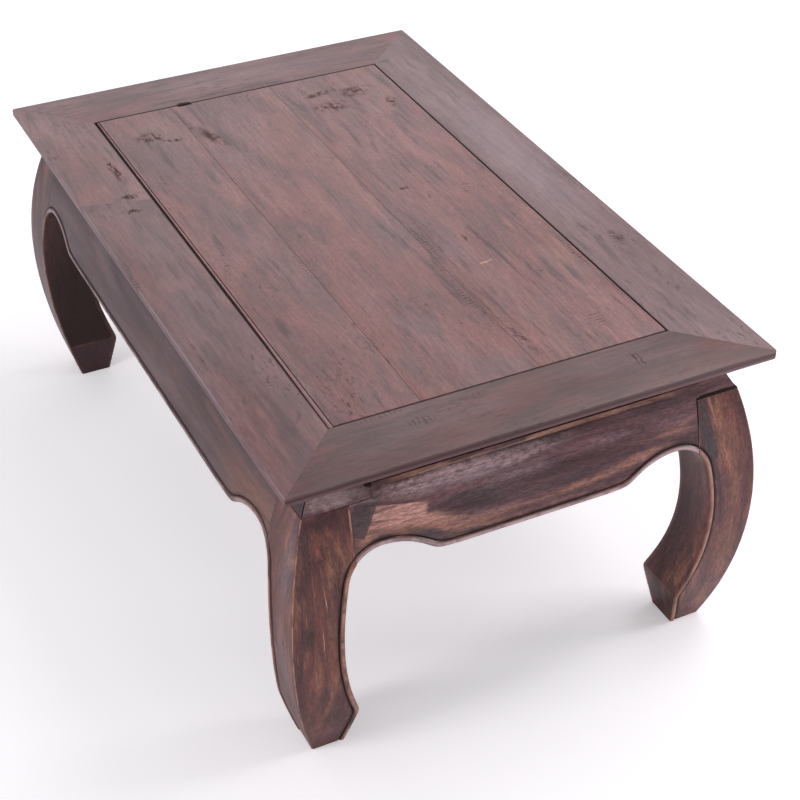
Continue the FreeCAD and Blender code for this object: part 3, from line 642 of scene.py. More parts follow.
class Finish:
    """A material under construction, with short ways to add and join its nodes."""

    def __init__(self, name):
        self.material = bpy.data.materials.new(name)
        self.material.use_nodes = True
        self.tree = self.material.node_tree
        self.shader = self.tree.nodes["Principled BSDF"]
        self.place = self.node("TexCoord").outputs["Object"]

    def feed(self, socket, value):
        """Joins a socket to another, or sets its value."""
        if isinstance(value, bpy.types.NodeSocket):
            self.tree.links.new(value, socket)
        elif socket.type == "RGBA":
            socket.default_value = (*value[:3], 1)
        else:
            socket.default_value = value

    def node(self, kind, inputs=None, **settings):
        """A new node with its settings and inputs."""
        made = self.tree.nodes.new(f"ShaderNode{kind}")
        for key, value in settings.items():
            setattr(made, key, value)
        for key, value in (inputs or {}).items():
            self.feed(made.inputs[key], value)
        return made

    def math(self, operation, first, second=0.0):
        """One sum on numbers."""
        made = self.node("Math", {0: first, 1: second}, operation=operation)
        return made.outputs[0]

    def times(self, first, second):
        """Two numbers multiplied."""
        return self.math("MULTIPLY", first, second)

    def plus(self, first, second):
        """Two numbers added."""
        return self.math("ADD", first, second)

    def minus(self, first, second):
        """One number less another."""
        return self.math("SUBTRACT", first, second)

    def split(self, source):
        """The three parts of a vector."""
        made = self.node("SeparateXYZ", {0: source})
        return [made.outputs[axis] for axis in "XYZ"]

    def vector_math(self, operation, first, second=(0, 0, 0)):
        """One sum on vectors."""
        made = self.node("VectorMath", {0: first, 1: second}, operation=operation)
        return made.outputs["Vector"]

    def laid(self, source, middle, turn, size):
        """Coordinates that are centred, turned and measured in a size of their own."""
        mapping = self.node("Mapping", {"Vector": source}, vector_type="TEXTURE")
        mapping.inputs["Location"].default_value = middle
        mapping.inputs["Rotation"].default_value = turn
        mapping.inputs["Scale"].default_value = size
        return mapping.outputs["Vector"]

    def grained(self, grain, seed):
        """Coordinates along a grain direction, in a part of the patterns that the seed picks."""
        return self.laid(self.place, [seed * stride for stride in SEED_STRIDE], grain, (1, 1, 1))

    def noise(self, source, rates, detail=2.0, rough=0.5, warp=0.0):
        """Cloudy noise with its own rate along each axis, per metre."""
        inputs = {"Scale": 1, "Detail": detail, "Roughness": rough, "Distortion": warp}
        inputs["Vector"] = self.vector_math("MULTIPLY", source, rates)
        return self.node("TexNoise", inputs).outputs["Fac"]

    def between(self, value, low, high, start=0.0, end=1.0):
        """A value taken smoothly from one range to another."""
        made = self.node(
            "MapRange", {"Value": value, "From Min": low, "From Max": high, "To Min": start, "To Max": end},
            interpolation_type="SMOOTHSTEP")
        return made.outputs["Result"]

    def about_one(self, value, low, high, strength):
        """A tone that swings about one with a value."""
        return self.between(value, low, high, 1 - strength, 1 + strength)

    def mix(self, share, first, second, blend="MIX"):
        """Two colours mixed by a share."""
        made = self.node("Mix", data_type="RGBA", blend_type=blend)
        self.feed(made.inputs[0], share)
        self.feed(made.inputs[6], first)
        self.feed(made.inputs[7], second)
        return made.outputs[2]

    def toned(self, colour, tone):
        """A colour made lighter or darker by a number."""
        grey = self.node("CombineColor", {0: tone, 1: tone, 2: tone}).outputs[0]
        return self.mix(1.0, colour, grey, "MULTIPLY")

    def attribute(self, name):
        """A number that the mesh carries."""
        return self.node("Attribute", attribute_name=name, attribute_type="GEOMETRY").outputs["Fac"]

    def close(self, colour, rough, height, strength, depth):
        """Feeds the shader its colour, roughness and bump, and hands over the material."""
        self.feed(self.shader.inputs["Base Color"], colour)
        self.feed(self.shader.inputs["Roughness"], rough)
        bump = self.node("Bump", {"Strength": strength, "Distance": depth, "Height": height})
        self.feed(self.shader.inputs["Normal"], bump.outputs["Normal"])
        return self.material


def lacquered_wood(name, grain, seed, colours, look, marks=(), extra=None):
    """Stained and lacquered wood: blotches, fibres, pores, haze, marks and wear on one grain direction."""
    wood = Finish(name)
    base = wood.grained(grain, seed)
    sway = wood.noise(base, (3, 9, 9), detail=2)
    lean = wood.times(wood.minus(sway, 0.5), look["sway"])
    shift = wood.node("CombineXYZ", {"X": 0.0, "Y": lean, "Z": lean}).outputs["Vector"]
    fibre = wood.vector_math("ADD", base, shift)
    patch = wood.noise(fibre, look["patch_rates"], detail=5, rough=0.62, warp=0.5)
    wisp = wood.noise(fibre, (11, 85, 85), detail=5, rough=0.58)
    fine = wood.noise(fibre, (28, 480, 480), detail=3, rough=0.62)
    cloud = wood.noise(base, (5, 13, 13), detail=3, rough=0.55)
    colour = wood.mix(wood.between(patch, 0.36, 0.64), look["cool"], look["main"])
    warm = wood.noise(fibre, (4, 28, 28), detail=4, rough=0.58, warp=0.4)
    colour = wood.mix(wood.between(warm, 0.5, 0.7, 0.0, look["warm_share"]), colour, look["warm"])
    haze_share = wood.between(cloud, 0.4, 0.7, 0.0, look["haze"])
    colour = wood.mix(haze_share, colour, colours.haze)
    dusk = wood.noise(fibre, (6, 30, 30), detail=4, rough=0.55, warp=1.0)
    colour = wood.mix(wood.between(dusk, 0.46, 0.62, 0.0, look["dusk"]), colour, colours.dusk)
    where = wood.between(cloud, 0.36, 0.6)
    streaks = wood.times(wood.between(wisp, 0.52, 0.7, 0.0, look["streaks"]), where)
    colour = wood.mix(streaks, colour, colours.grey_streak)
    thread = wood.noise(fibre, (6, 230, 230), detail=2)
    threads = wood.times(wood.between(thread, 0.62, 0.7, 0.0, look["threads"]), where)
    colour = wood.mix(threads, colour, look["warm"])
    blot = wood.noise(fibre, (62, 210, 210), detail=3, rough=0.62)
    crowd = wood.between(wood.noise(base, (7, 19, 19), detail=2), 0.5, 0.68, 0.0, look["dents"])
    dents = wood.times(wood.between(blot, 0.56, 0.66), crowd)
    colour = wood.mix(dents, colour, colours.deposit)
    height = wood.minus(wood.times(fine, 0.3), dents)
    height = wood.plus(height, wood.times(cloud, 1.2))
    specks = wood.noise(base, (75, 140, 140), detail=5, rough=0.7)
    tools = {
        "plain": wood.place, "ragged": wood.place, "warm": look["warm"],
        "wisp": wisp, "blot": blot, "specks": specks,
    }
    if marks:
        torn = wood.node("TexNoise", {"Vector": wood.place, "Scale": 80, "Detail": 3, "Roughness": 0.6})
        torn = wood.vector_math("SUBTRACT", torn.outputs["Color"], (0.5, 0.5, 0.5))
        torn = wood.vector_math("MULTIPLY", torn, (0.01, 0.01, 0.01))
        tools["ragged"] = wood.vector_math("ADD", wood.place, torn)
    rough = wood.between(patch, 0.3, 0.7, look["rough"] + 0.05, look["rough"] - 0.04)
    for mark in marks:
        colour, height, rough = draw_mark(wood, colour, height, rough, tools, mark, colours)
    depth = look["grain"]
    pores = wood.noise(fibre, (130, 560, 560), detail=3, rough=0.75)
    cord = wood.noise(fibre, (17, 170, 170), detail=2)
    lines = wood.about_one(wisp, 0.3, 0.7, -0.5 * depth)
    lines = wood.times(lines, wood.about_one(pores, 0.3, 0.7, look["speckle"]))
    lines = wood.times(lines, wood.about_one(cord, 0.35, 0.65, 0.7 * depth))
    shade = wood.times(wood.about_one(fine, 0.32, 0.68, depth), lines)
    colour = wood.toned(colour, shade)
    if extra:
        colour, height, rough = extra(wood, colour, height, rough)
    wood.shader.inputs["Specular IOR Level"].default_value = 0.5
    wood.shader.inputs["Specular Tint"].default_value = (1, 0.9, 0.9, 1)
    return wood.close(colour, rough, height, 0.35, 0.35 * MM)


def draw_mark(wood, colour, height, rough, tools, mark, colours):
    """Lays one mark over a finish: each kind has a tint, a soft or sharp rim and a pattern to break it."""
    kind, middle, size, turn, share = mark
    tint, rim, pattern, low, high = {
        "stain": (colours.deposit, 0.1, "specks", 0.26, 0.5),
        "specks": (colours.deposit, 0.1, "specks", 0.45, 0.56),
        "nicks": (colours.deposit, 0.4, "blot", 0.36, 0.5),
        "vein": (colours.deposit, 0.0, "wisp", 0.2, 0.45),
        "grey": (colours.grey_streak, 0.15, "wisp", 0.32, 0.56),
        "streak": (colours.grey_streak, 0.0, "wisp", 0.05, 0.4),
        # shade lays painted shade, unbroken by any pattern.
        "shade": (colours.shadow, 0.3, None, 0, 1),
        "dusk": (colours.dusk, 0.1, "wisp", 0.2, 0.5),
        # bloom is the lacquer's pale bloom and is also laid as painted light.
        "bloom": (colours.bloom, 0.1, "specks", 0.3, 0.6),
        "warm": (tools["warm"], 0.1, "wisp", 0.28, 0.55),
        "lilac": (colours.haze, 0.1, "wisp", 0.1, 0.45),
        "pale": (colours.sapwood, 0.5, "wisp", 0.28, 0.55),
        "sap": (colours.sapwood, 0.85, "wisp", 0.25, 0.5),
        "edge": (colours.worn, 0.8, "wisp", 0.32, 0.6),
        # toe lays dark plum over painted shade on a toe facet.
        "toe": (colours.dusk, 0.95, None, 0, 1),
        "block": (colours.grey_streak, 0.92, "wisp", 0.1, 0.3),
        # gap lays painted shade, in a darker grime colour, in the gap over a leg's head.
        "gap": (scaled(colours.grime, 0.4), 0.97, None, 0, 1),
        "line": (colours.grime, 0.6, None, 0, 1),
        "pit": (colours.grime, 0.7, None, 0, 1),
        "scratch": (colours.worn, 0.5, None, 0, 1),
        "thread": (colours.worn, 0.3, "specks", 0.3, 0.55),
    }[kind]
    boxed = kind in ("block", "gap", "edge", "sap", "toe")
    straight = boxed or kind in ("line", "thread", "streak")
    local = wood.laid(tools["plain" if straight else "ragged"], middle, turn, size)
    if boxed:
        x, y, z = wood.split(wood.vector_math("ABSOLUTE", local))
        reach = wood.math("MAXIMUM", x, wood.math("MAXIMUM", y, z))
    else:
        reach = wood.node("VectorMath", {0: local}, operation="LENGTH").outputs["Value"]
    mask = wood.between(reach, rim, 1.0, share, 0.0)
    if pattern:
        mask = wood.times(wood.between(tools[pattern], low, high), mask)
    if kind == "nicks":
        pitch = 6.2 * MM / size[0]
        teeth = wood.node(
            "TexWave", {"Vector": local, "Scale": math.tau / (20 * pitch), "Distortion": 1.5, "Detail": 1},
            wave_type="BANDS", bands_direction="X").outputs["Fac"]
        mask = wood.times(wood.between(teeth, 0.6, 0.9), mask)
    colour = wood.mix(mask, colour, tint)
    if kind in ("stain", "specks", "nicks", "line", "pit"):
        height = wood.minus(height, wood.times(mask, 1.5))
    if kind in ("gap", "pit", "specks"):
        rough = wood.plus(rough, wood.times(mask, 0.5))
    return colour, height, rough


def panel_lines(colours, rim_shade=0.3, rim_highlight=0.7, rim_plum=0.0, deep=0.0):
    """Grime and painted shade in the lines round and between the planks, a painted highlight on the arris
    over a rim band of painted shade, and painted shade under the nose.
    """
    def lay(wood, colour, height, rough):
        x, y, z = wood.split(wood.place)

        def under_top(low, high, share):
            return wood.between(z, TABLE_HEIGHT - low * MM, TABLE_HEIGHT - high * MM, share, 0.0)

        # Painted shade on the planks' sides inside the gaps, in the grime colour.
        sunk = wood.times(under_top(3, 0.8, deep), wood.between(z, GROOVE_LOW, GROOVE_LOW + 2 * MM))
        colour = wood.mix(sunk, colour, colours.grime)
        across = wood.math("ABSOLUTE", x)
        along = wood.math("ABSOLUTE", y)
        past_x = wood.minus(across, PANEL_HALF_WIDTH)
        past_y = wood.minus(along, PANEL_HALF_LENGTH)
        # Grime and painted shade along the open line round the panel.
        line = wood.math("ABSOLUTE", wood.math("MAXIMUM", past_x, past_y))
        grime = wood.between(line, 0.9 * MM, 2.0 * MM, 0.95, 0.0)
        colour = wood.mix(grime, colour, colours.grime)
        # Painted shade: a dark band down the rim's face under the arris, with a plum band below it.
        colour = wood.mix(under_top(4, 1.5, rim_shade), colour, colours.painted_shade_dark)
        colour = wood.mix(under_top(8, 5.5, rim_plum), colour, colours.plum)
        # Painted highlight: a patchy lilac line along the top's outer arris.
        rim = wood.math("MINIMUM", wood.minus(HALF_WIDTH, across), wood.minus(HALF_LENGTH, along))
        rub = wood.between(wood.noise(wood.place, (14, 14, 14), detail=3), 0.34, 0.6, 0.2, 1.0)
        level = wood.between(z, TABLE_HEIGHT - 1.8 * MM, TABLE_HEIGHT - 0.6 * MM)
        edge = wood.times(wood.between(rim, 1.0 * MM, 2.2 * MM, rim_highlight, 0.0), level)
        colour = wood.mix(wood.times(edge, rub), colour, colours.haze)
        # Painted shade under the top's nose and in its undercut.
        under = wood.between(z, TOP_UNDERSIDE, NOSE_HEIGHT + 2 * MM, 0.75, 0.0)
        colour = wood.mix(under, colour, colours.painted_shade_dark)
        return colour, height, rough
    return lay


def carved_wear(colours, least, most, tint=None):
    """Rubbed arrises and beads, and grime in and beside the grooves, where the mesh says they are."""
    def lay(wood, colour, height, rough):
        patchy = wood.noise(wood.place, (40, 40, 40), detail=4, rough=0.6)
        uneven = wood.times(wood.minus(patchy, 0.5), 1.4)
        dirt = wood.plus(wood.attribute("groove"), uneven)
        present = wood.between(wood.attribute("groove"), 0.0, 0.2, 0.0, 0.8)
        dirt = wood.times(wood.between(dirt, 0.3, 0.9), present)
        colour = wood.mix(dirt, colour, colours.grime)
        rub = wood.times(wood.attribute("wear"), wood.between(patchy, 0.38, 0.6, least, most))
        colour = wood.mix(rub, colour, tint or colours.worn)
        rough = wood.minus(rough, wood.times(rub, 0.06))
        return colour, height, rough
    return lay


def top_look(colours, rose, warm_share, tone=1.0, speckle=0.17):
    """Strengths of the top's finish: how rose, how warm, how light and how speckled a board is; how light is
    a tone of painted light and shade.
    """
    grey = scaled(colours.top_grey, tone)
    red = scaled(colours.top_rose, tone)
    return {
        "cool": scaled(blended(grey, red, rose * 0.25), 0.91), "main": blended(grey, red, rose),
        "warm": scaled(colours.top_warm, tone), "warm_share": warm_share, "patch_rates": (9, 21, 21),
        "haze": 0.2, "streaks": 0.55, "grain": 0.09, "dents": 0.75, "rough": 0.37, "sway": 0.02, "dusk": 0.0,
        "threads": 0.35, "speckle": speckle,
    }


def carcass_look(colours, main, haze, warm_share, warm=None, dusk=0.75, speckle=0.28, vigour=1.0):
    """Strengths of the finish of legs, aprons and waist on a main colour; vigour is that of the grain."""
    return {
        "cool": scaled(main, 1.15 - dusk), "main": main, "warm": warm or colours.stain_warm,
        "warm_share": warm_share, "patch_rates": (4, 26, 26), "haze": haze, "streaks": 0.3 * vigour,
        "grain": 0.17 * vigour, "dents": 0.6 * vigour, "rough": 0.36, "sway": 0.03, "dusk": dusk,
        "threads": 0.35 * vigour, "speckle": speckle,
    }


def side_look(colours):
    """The quiet grey brown finish of the aprons and waist away from the near side, darkened as painted shade
    under the top's overhang.
    """
    return carcass_look(colours, colours.slate_and_shade, 0.2, 0.22, dusk=0.5, speckle=0.18, vigour=0.4)


def grain_along(quarters):
    """The grain direction of a part that runs along a side."""
    return ALONG_X if quarters % 2 == 0 else ALONG_Y


def make_rail(name, run, reach, sizes, rubbed_end):
    """One top rail for the near side: undercut rim, mitred ends, one rounder, and a groove for the panel."""
    rail = add_block(name, (-run, -reach, TOP_UNDERSIDE), (run, -reach + RAIL_WIDTH, TABLE_HEIGHT))
    edit(rail)
    drop = NOSE_HEIGHT - TOP_UNDERSIDE
    slice_off((0, -reach + NOSE_INSET, NOSE_HEIGHT), (0, -drop, NOSE_INSET - UNDERCUT_INSET))
    rim_low = NOSE_HEIGHT + drop * NOSE_INSET / (UNDERCUT_INSET - NOSE_INSET)
    ease(rail, lambda spot: near_to(spot.y, -reach) and near_to(spot.z, rim_low), RIM_EASE, 4)
    score((0, 0, GROOVE_LOW), (0, 0, 1))
    score((0, 0, GROOVE_HIGH), (0, 0, 1))
    for end in (-1, 1):
        slice_off((end * (run - sizes.joint_gap / 2), -reach, 0), (end, 1, 0))
        radius = sizes.rubbed_corner if end == rubbed_end else sizes.corner_round
        round_middle = Vector((run - radius, -reach + radius, 0))
        for angle in map(math.radians, CORNER_CUTS):
            way = Vector((math.cos(angle), -math.sin(angle), 0))
            touch = round_middle + way * radius
            slice_off((end * touch.x, touch.y, 0), (end * way.x, way.y, 0))
    inner = -reach + RAIL_WIDTH

    def in_groove(spot, normal):
        return normal.y > FACING and near_to(spot.y, inner) and GROOVE_LOW < spot.z < GROOVE_HIGH

    push(rail, in_groove, (0, -GROOVE_DEPTH, 0))
    rounded = -reach + max(sizes.corner_round, sizes.rubbed_corner)
    ease(rail, lambda spot: near_to(spot.z, TABLE_HEIGHT) and spot.y < rounded, sizes.rim_round, 3)
    ease(rail, lambda spot: near_to(spot.z, TABLE_HEIGHT) and near_to(spot.y, inner), sizes.panel_chamfer)
    leave_edit()
    return rail


def make_plank(name, left, right, groove, sizes, chip=None):
    """One plank with tongues and a groove; a chip is (middle, half width) at its far end."""
    near_end = -PANEL_HALF_LENGTH + sizes.panel_gap
    far_end = PANEL_HALF_LENGTH - sizes.panel_gap * FAR_GAP_SHARE
    plank = add_block(name, (left, near_end, TOP_UNDERSIDE), (right, far_end, TABLE_HEIGHT))
    edit(plank)
    score((0, 0, TONGUE_LOW), (0, 0, 1))
    score((0, 0, TONGUE_HIGH), (0, 0, 1))

    def edge_face(sign, axis):
        return lambda spot, normal: normal[axis] * sign > FACING and TONGUE_LOW < spot.z < TONGUE_HIGH

    for sign in (-1, 1):
        push(plank, edge_face(sign, 1), (0, sign * TONGUE_REACH, 0))
    push(plank, edge_face(1, 0), (TONGUE_REACH, 0, 0))
    reach = TONGUE_REACH + (GROOVE_FACE_REACH if groove > 0 else far_end)
    left_face = edge_face(-1, 0)
    push(plank, lambda spot, normal: left_face(spot, normal) and abs(spot.y) < reach, (groove, 0, 0))
    for end in (near_end, far_end):
        ease(plank, lambda spot: near_to(spot.z, TABLE_HEIGHT) and near_to(spot.y, end), sizes.panel_chamfer)

    def on_long_edge(spot):
        return near_to(spot.z, TABLE_HEIGHT) and (near_to(spot.x, left) or near_to(spot.x, right))

    ease(plank, on_long_edge, sizes.plank_chamfer)
    if chip:
        middle, half = chip
        arris = 2 * sizes.panel_chamfer
        score((0, far_end - CHIP_RUN, 0), (0, 1, 0))
        for share in CHIP_CUTS:
            score((middle + share * half, 0, 0), (1, 0, 0))

        def in_chip(spot):
            on_arris = spot.z > TABLE_HEIGHT - arris and spot.y > far_end - arris
            return on_arris and abs(spot.x - middle) < CHIP_CORE * half

        pick(plank, "VERT", in_chip)
        bpy.ops.transform.translate(value=CHIP_PUSH)
    leave_edit()
    return plank


def waist_inset(height):
    """Inset of the waist's hollow face at a height."""
    share = (height - LEG_TOP) / (TOP_UNDERSIDE - LEG_TOP)
    straight = WAIST_FOOT_INSET + (WAIST_TOP_INSET - WAIST_FOOT_INSET) * share
    return straight + 4 * WAIST_HOLLOW * share * (1 - share)


def make_waist(name, run, reach, sizes, ledge=False, lifts=()):
    """One mitred waist strip for the near side; the ledge one meets its apron flush, with a slot over it."""
    waist = add_block(
        name, (-run, -reach + WAIST_FOOT_INSET, LEG_TOP), (run, -reach + CARCASS_BACK, TOP_UNDERSIDE))
    edit(waist)
    rows = [LEG_TOP + (TOP_UNDERSIDE - LEG_TOP) * step / HOLLOW_ROWS for step in range(1, HOLLOW_ROWS)]
    columns = [end * (run - SEAM_INSET + gap) for end in lifts for gap in (HEAD_GAP_START, HEAD_GAP_END)]
    if ledge:
        rows += [LEDGE_TOP, SLOT_TOP]
        columns += [LEDGE_LEFT, LEDGE_RIGHT, SLOT_LEFT, SLOT_RIGHT]
    for row in rows:
        score((0, 0, row), (0, 0, 1))
    for column in columns:
        score((column, 0, 0), (1, 0, 0))
    front = -reach + WAIST_FOOT_INSET
    lifted = run - SEAM_INSET + (HEAD_GAP_START + HEAD_GAP_END) / 2
    shape = bmesh.from_edit_mesh(waist.data)
    for vert in shape.verts:
        if near_to(vert.co.y, front):
            if near_to(vert.co.z, LEG_TOP) and any(vert.co.x * end > lifted for end in lifts):
                vert.co.z += sizes.head_gap
            vert.co.y = -reach + waist_inset(vert.co.z)
    bmesh.update_edit_mesh(waist.data)
    for end in (-1, 1):
        slice_off((end * (run - sizes.waist_gap * MITRE_SHARE), -reach, 0), (end, 1, 0))
    if ledge:
        def on_ledge(spot, normal):
            return normal.y < -TILTED_FACING and spot.z < LEDGE_TOP and LEDGE_LEFT < spot.x < LEDGE_RIGHT

        def in_slot(spot, normal):
            level = LEDGE_TOP < spot.z < SLOT_TOP
            return normal.y < -TILTED_FACING and level and SLOT_LEFT < spot.x < SLOT_RIGHT

        push(waist, on_ledge, (0, face_inset(LEG_TOP) - WAIST_FOOT_INSET, 0))
        push(waist, in_slot, (0, SLOT_DEPTH, 0))
    else:
        ease(waist, lambda spot: near_to(spot.z, LEG_TOP) and near_to(spot.y, front), WAIST_EASE)
    leave_edit()
    return waist


def face_inset(height):
    """Inset of the bulging outer face of aprons and legs at a height."""
    middle, level, radius = BROW_ARC if height > BROW_ARC[1] else CALF_ARC
    return middle - math.sqrt(radius ** 2 - (height - level) ** 2)


def softest(first, second, blend):
    """The larger of two lengths, with the corner between them rounded over."""
    return (first + second + math.sqrt((first - second) ** 2 + blend ** 2)) / 2


def apron_edge(inset, step):
    """Height of the apron's lower contour, moved up by a step square to itself."""
    flat = APRON_BOTTOM + step
    middle, level, radius = ARCH_ARC if inset < ARCH_ARC[0] else CUSP_ARC
    rise = (radius + step) ** 2 - (inset - middle) ** 2
    if rise <= 0:
        return flat
    return softest(level + math.sqrt(rise), flat, CUSP_BLEND)


def leg_edge(height, step):
    """Inset of the leg's inner contour at a height, moved into the leg by a step square to itself."""
    if height > ARCH_ARC[1] + ARCH_ARC[2] + step:
        return SEAM_INSET
    if height > ARCH_ARC[1] + (ARCH_ARC[2] + step) * SHIN_TANGENT.y:
        middle, level, radius = ARCH_ARC
    elif height > SHIN_ARC[1]:
        middle, level, radius = SHIN_ARC
    else:
        middle, level, radius = INSTEP_ARC
    arc = middle - math.sqrt((radius + step) ** 2 - (height - level) ** 2)
    toe = FOOT_INSET + TOE_LEAN * height - step * math.sqrt(1 + TOE_LEAN ** 2)
    edge = -softest(-arc, -toe, TOE_BLEND)
    return min(edge, SEAM_INSET) if height > ARCH_ARC[1] else edge


def carve(step, sizes):
    """How far the carved edge stands proud of the face, a step away from the sawn contour."""
    start = -sizes.groove_sink * GROOVE_START_SHARE
    if step < BEAD_MIDDLE + BEAD_HALF:
        off = (step - BEAD_MIDDLE) / BEAD_HALF
        sink = BEAD_FOOT if off < 0 else -start
        return (sizes.bead_rise + sink) * math.sqrt(max(0, 1 - off ** 2)) - sink
    if step < GROOVE_MIDDLE + GROOVE_HALF:
        off = (step - GROOVE_MIDDLE) / GROOVE_HALF
        fade = max(0, 1 - (step - BEAD_MIDDLE - BEAD_HALF) / BEAD_FADE)
        return min(-sizes.groove_sink * math.cos(off * QUARTER_TURN) ** 2, start * fade)
    return 0.0


def rub_of(step):
    """Wear on the bead, by the step from the contour."""
    fade = WEAR_FADES[0] if step < WEAR_MIDDLE else WEAR_FADES[1]
    return max(0.0, 1 - ((step - WEAR_MIDDLE) / fade) ** 2)


def dirt_of(step):
    """Grime in the groove and, weaker, on the face beside it, by the step from the contour."""
    core = max(0.0, 1 - ((step - DIRT_MIDDLE) / DIRT_HALF) ** 2)
    film = FILM_MOST - (step - FILM_START) / FILM_FADE if DIRT_MIDDLE < step < BEAD_REACH else 0.0
    return max(core, film)


def store(piece, name, values):
    """Keeps one number a vertex on the mesh."""
    layer = piece.data.attributes.new(name, "FLOAT", "POINT")
    layer.data.foreach_set("value", values)


def apron_columns(half):
    """Places along an apron: close together in the arches, wider in the straight middle."""
    seam = [SEAM_INSET + gap for gap in SEAM_COLUMNS]
    arch = [SEAM_INSET + ARCH_STEP * step for step in range(1, ARCH_COLUMNS + 1)]
    past = arch[-1]
    count = END_COLUMNS if half == HALF_WIDTH else SIDE_COLUMNS
    middle = [past + (half - past) * step / count for step in range(1, count + 1)]
    insets = seam + arch + middle
    left = [-half + inset for inset in insets]
    return left + [-place for place in reversed(left[:-1])]


def make_apron(name, run, reach, sizes, flush):
    """One apron for the near side: bulging face, arched lower edge, bead and groove; flush under a ledge."""
    columns = apron_columns(run)
    steps = [step * MM for step in BEAD_STEPS]
    row_count = len(steps) + len(APRON_ROWS) + 2
    clear_selection()
    bpy.ops.mesh.primitive_grid_add(x_subdivisions=len(columns) - 1, y_subdivisions=row_count - 1, size=1)
    apron = named(bpy.context.object, name)
    wear = []
    groove = []
    for number, vert in enumerate(apron.data.vertices):
        row, column = divmod(number, len(columns))
        place = columns[column]
        inset = run - abs(place)
        seam = max(0, SEAM_EASE - (inset - SEAM_INSET))
        last = apron_edge(inset, steps[-1])
        worn = dirty = sink = 0.0
        if row < len(steps):
            height = apron_edge(inset, steps[row])
            sink = -carve(steps[row], sizes)
            worn, dirty = rub_of(steps[row]), dirt_of(steps[row])
        elif row < len(steps) + len(APRON_ROWS):
            height = last + (LEG_TOP - TOP_ROUND - last) * APRON_ROWS[row - len(steps)]
        elif flush[0] < place < flush[1]:
            height = LEG_TOP - (row_count - 1 - row) * FLUSH_STEP
        elif row == row_count - 2:
            height = LEG_TOP - ARRIS_DROP
            worn = ARRIS_WEAR
        else:
            height = LEG_TOP - LIP_DROP
            sink = LIP_SINK
        vert.co = (place, -reach + face_inset(height) + sink + seam, height)
        wear.append(worn)
        groove.append(max(dirty, min(1.0, seam / SEAM_SINK)))
    store(apron, "wear", wear)
    store(apron, "groove", groove)
    edit(apron)
    take_all()
    bpy.ops.mesh.extrude_region_move(TRANSFORM_OT_translate={"value": (0, CARCASS_BACK / 2, 0)})
    shape = bmesh.from_edit_mesh(apron.data)
    for vert in shape.verts:
        if vert.select:
            vert.co.y = -reach + CARCASS_BACK
    bmesh.update_edit_mesh(apron.data)
    leave_edit()
    tidy_mesh(apron)
    return apron


def leg_heights():
    """Heights of the rings round a leg, closest at the foot, the toe and the haunch."""
    foot = [0, 0.5, 1.2, 4, 9, 15, 21, 27, 33, 38, 42]
    toe = [46, 50] + [54 + step for step in range(0, 17)]
    shin = [74 + 6 * step for step in range(0, 33)]
    haunch = [272 + 1.6 * step for step in range(0, 30)]
    head = [322 + 7 * step for step in range(0, 7)]
    return [height * MM for height in foot + toe + shin + haunch + head + [370.6, 371.4, 371.9]]


def leg_section(height, sizes):
    """Half a ring round a leg: (inset, inset, wear, groove) from the outer arris to the inner corner."""
    outer = face_inset(height)
    inner = leg_edge(height, 0)
    seam_step = math.hypot(ARCH_ARC[0] - SEAM_INSET, height - ARCH_ARC[1]) - ARCH_ARC[2]
    jointed = height > JOINTED_FROM
    least = max(0.0, seam_step) if jointed else 0.0
    radius = sizes.arris_round
    ring = []
    for angle in (45, 30, 15, 0):
        turn = math.radians(angle)
        ring.append((
            outer + radius * (1 - math.sin(turn)), outer + radius * (1 - math.cos(turn)),
            (angle - 15) / 30 if angle > 15 else 0.0, 0.0))
    start = ring[-1][0]
    stop = leg_edge(height, BEAD_REACH)
    if jointed:
        stop = min(stop, SEAM_INSET - SEAM_CLEAR)
    for share in LEG_FACE_SHARES:
        ring.append((start + (stop - start) * share, outer, 0.0, 0.0))
    for step in reversed(BEAD_STEPS):
        away = max(step * MM, least)
        inset = leg_edge(height, away)
        sink = -carve(away, sizes)
        worn, dirty = rub_of(away), dirt_of(away)
        if jointed and near_to(inset, SEAM_INSET) and away > SEAM_BEAD:
            if step < BEAD_STEPS[-1]:
                inset, sink, worn = SEAM_INSET, sink + SEAM_SINK, SEAM_WEAR
            else:
                inset, worn = SEAM_INSET - SEAM_EASE, 0.0
        ring.append((inset, outer + sink, worn, dirty))
    lip = ring[-1][1]
    ridge = RIDGE_WEAR if near_to(height, TOE_RIDGE, RIDGE_HALF) else 0.0
    for share in LEG_INNER_SHARES:
        ring.append((inner, lip + (inner - INNER_ROUND - lip) * share, ridge, 0.0))
    ring.append((inner, inner - INNER_ROUND, max(ridge, 0.3), 0.0))
    ring.append((inner - INNER_CUT, inner - INNER_CUT, 0.6, 0.0))
    return ring


def make_leg(name, sizes):
    """One leg with its outer corner at the origin: a round bar of rings drawn out to the sawn section."""
    heights = leg_heights()
    half = leg_section(heights[0], sizes)
    around = 2 * len(half) - 2
    clear_selection()
    bpy.ops.mesh.primitive_grid_add(x_subdivisions=around, y_subdivisions=len(heights) - 1, size=1)
    leg = named(bpy.context.object, name)
    wear = []
    groove = []
    rings = []
    for height in heights:
        half = leg_section(height, sizes)
        mirrored = [(second, first, *rest) for first, second, *rest in reversed(half[1:-1])]
        ring = half + mirrored
        rings.append(ring + [ring[0]])
    for number, vert in enumerate(leg.data.vertices):
        row, column = divmod(number, around + 1)
        first, second, worn, dirty = rings[row][column]
        vert.co = (first, second, heights[row])
        wear.append(worn)
        groove.append(dirty)
    store(leg, "wear", wear)
    store(leg, "groove", groove)
    edit(leg)
    take_all()
    bpy.ops.mesh.remove_doubles(threshold=RING_MERGE_GAP)
    bpy.ops.mesh.select_all(action="DESELECT")
    bpy.ops.mesh.select_mode(type="EDGE")
    bpy.ops.mesh.select_non_manifold()
    bpy.ops.mesh.edge_face_add()
    leave_edit()
    tidy_mesh(leg)
    return leg


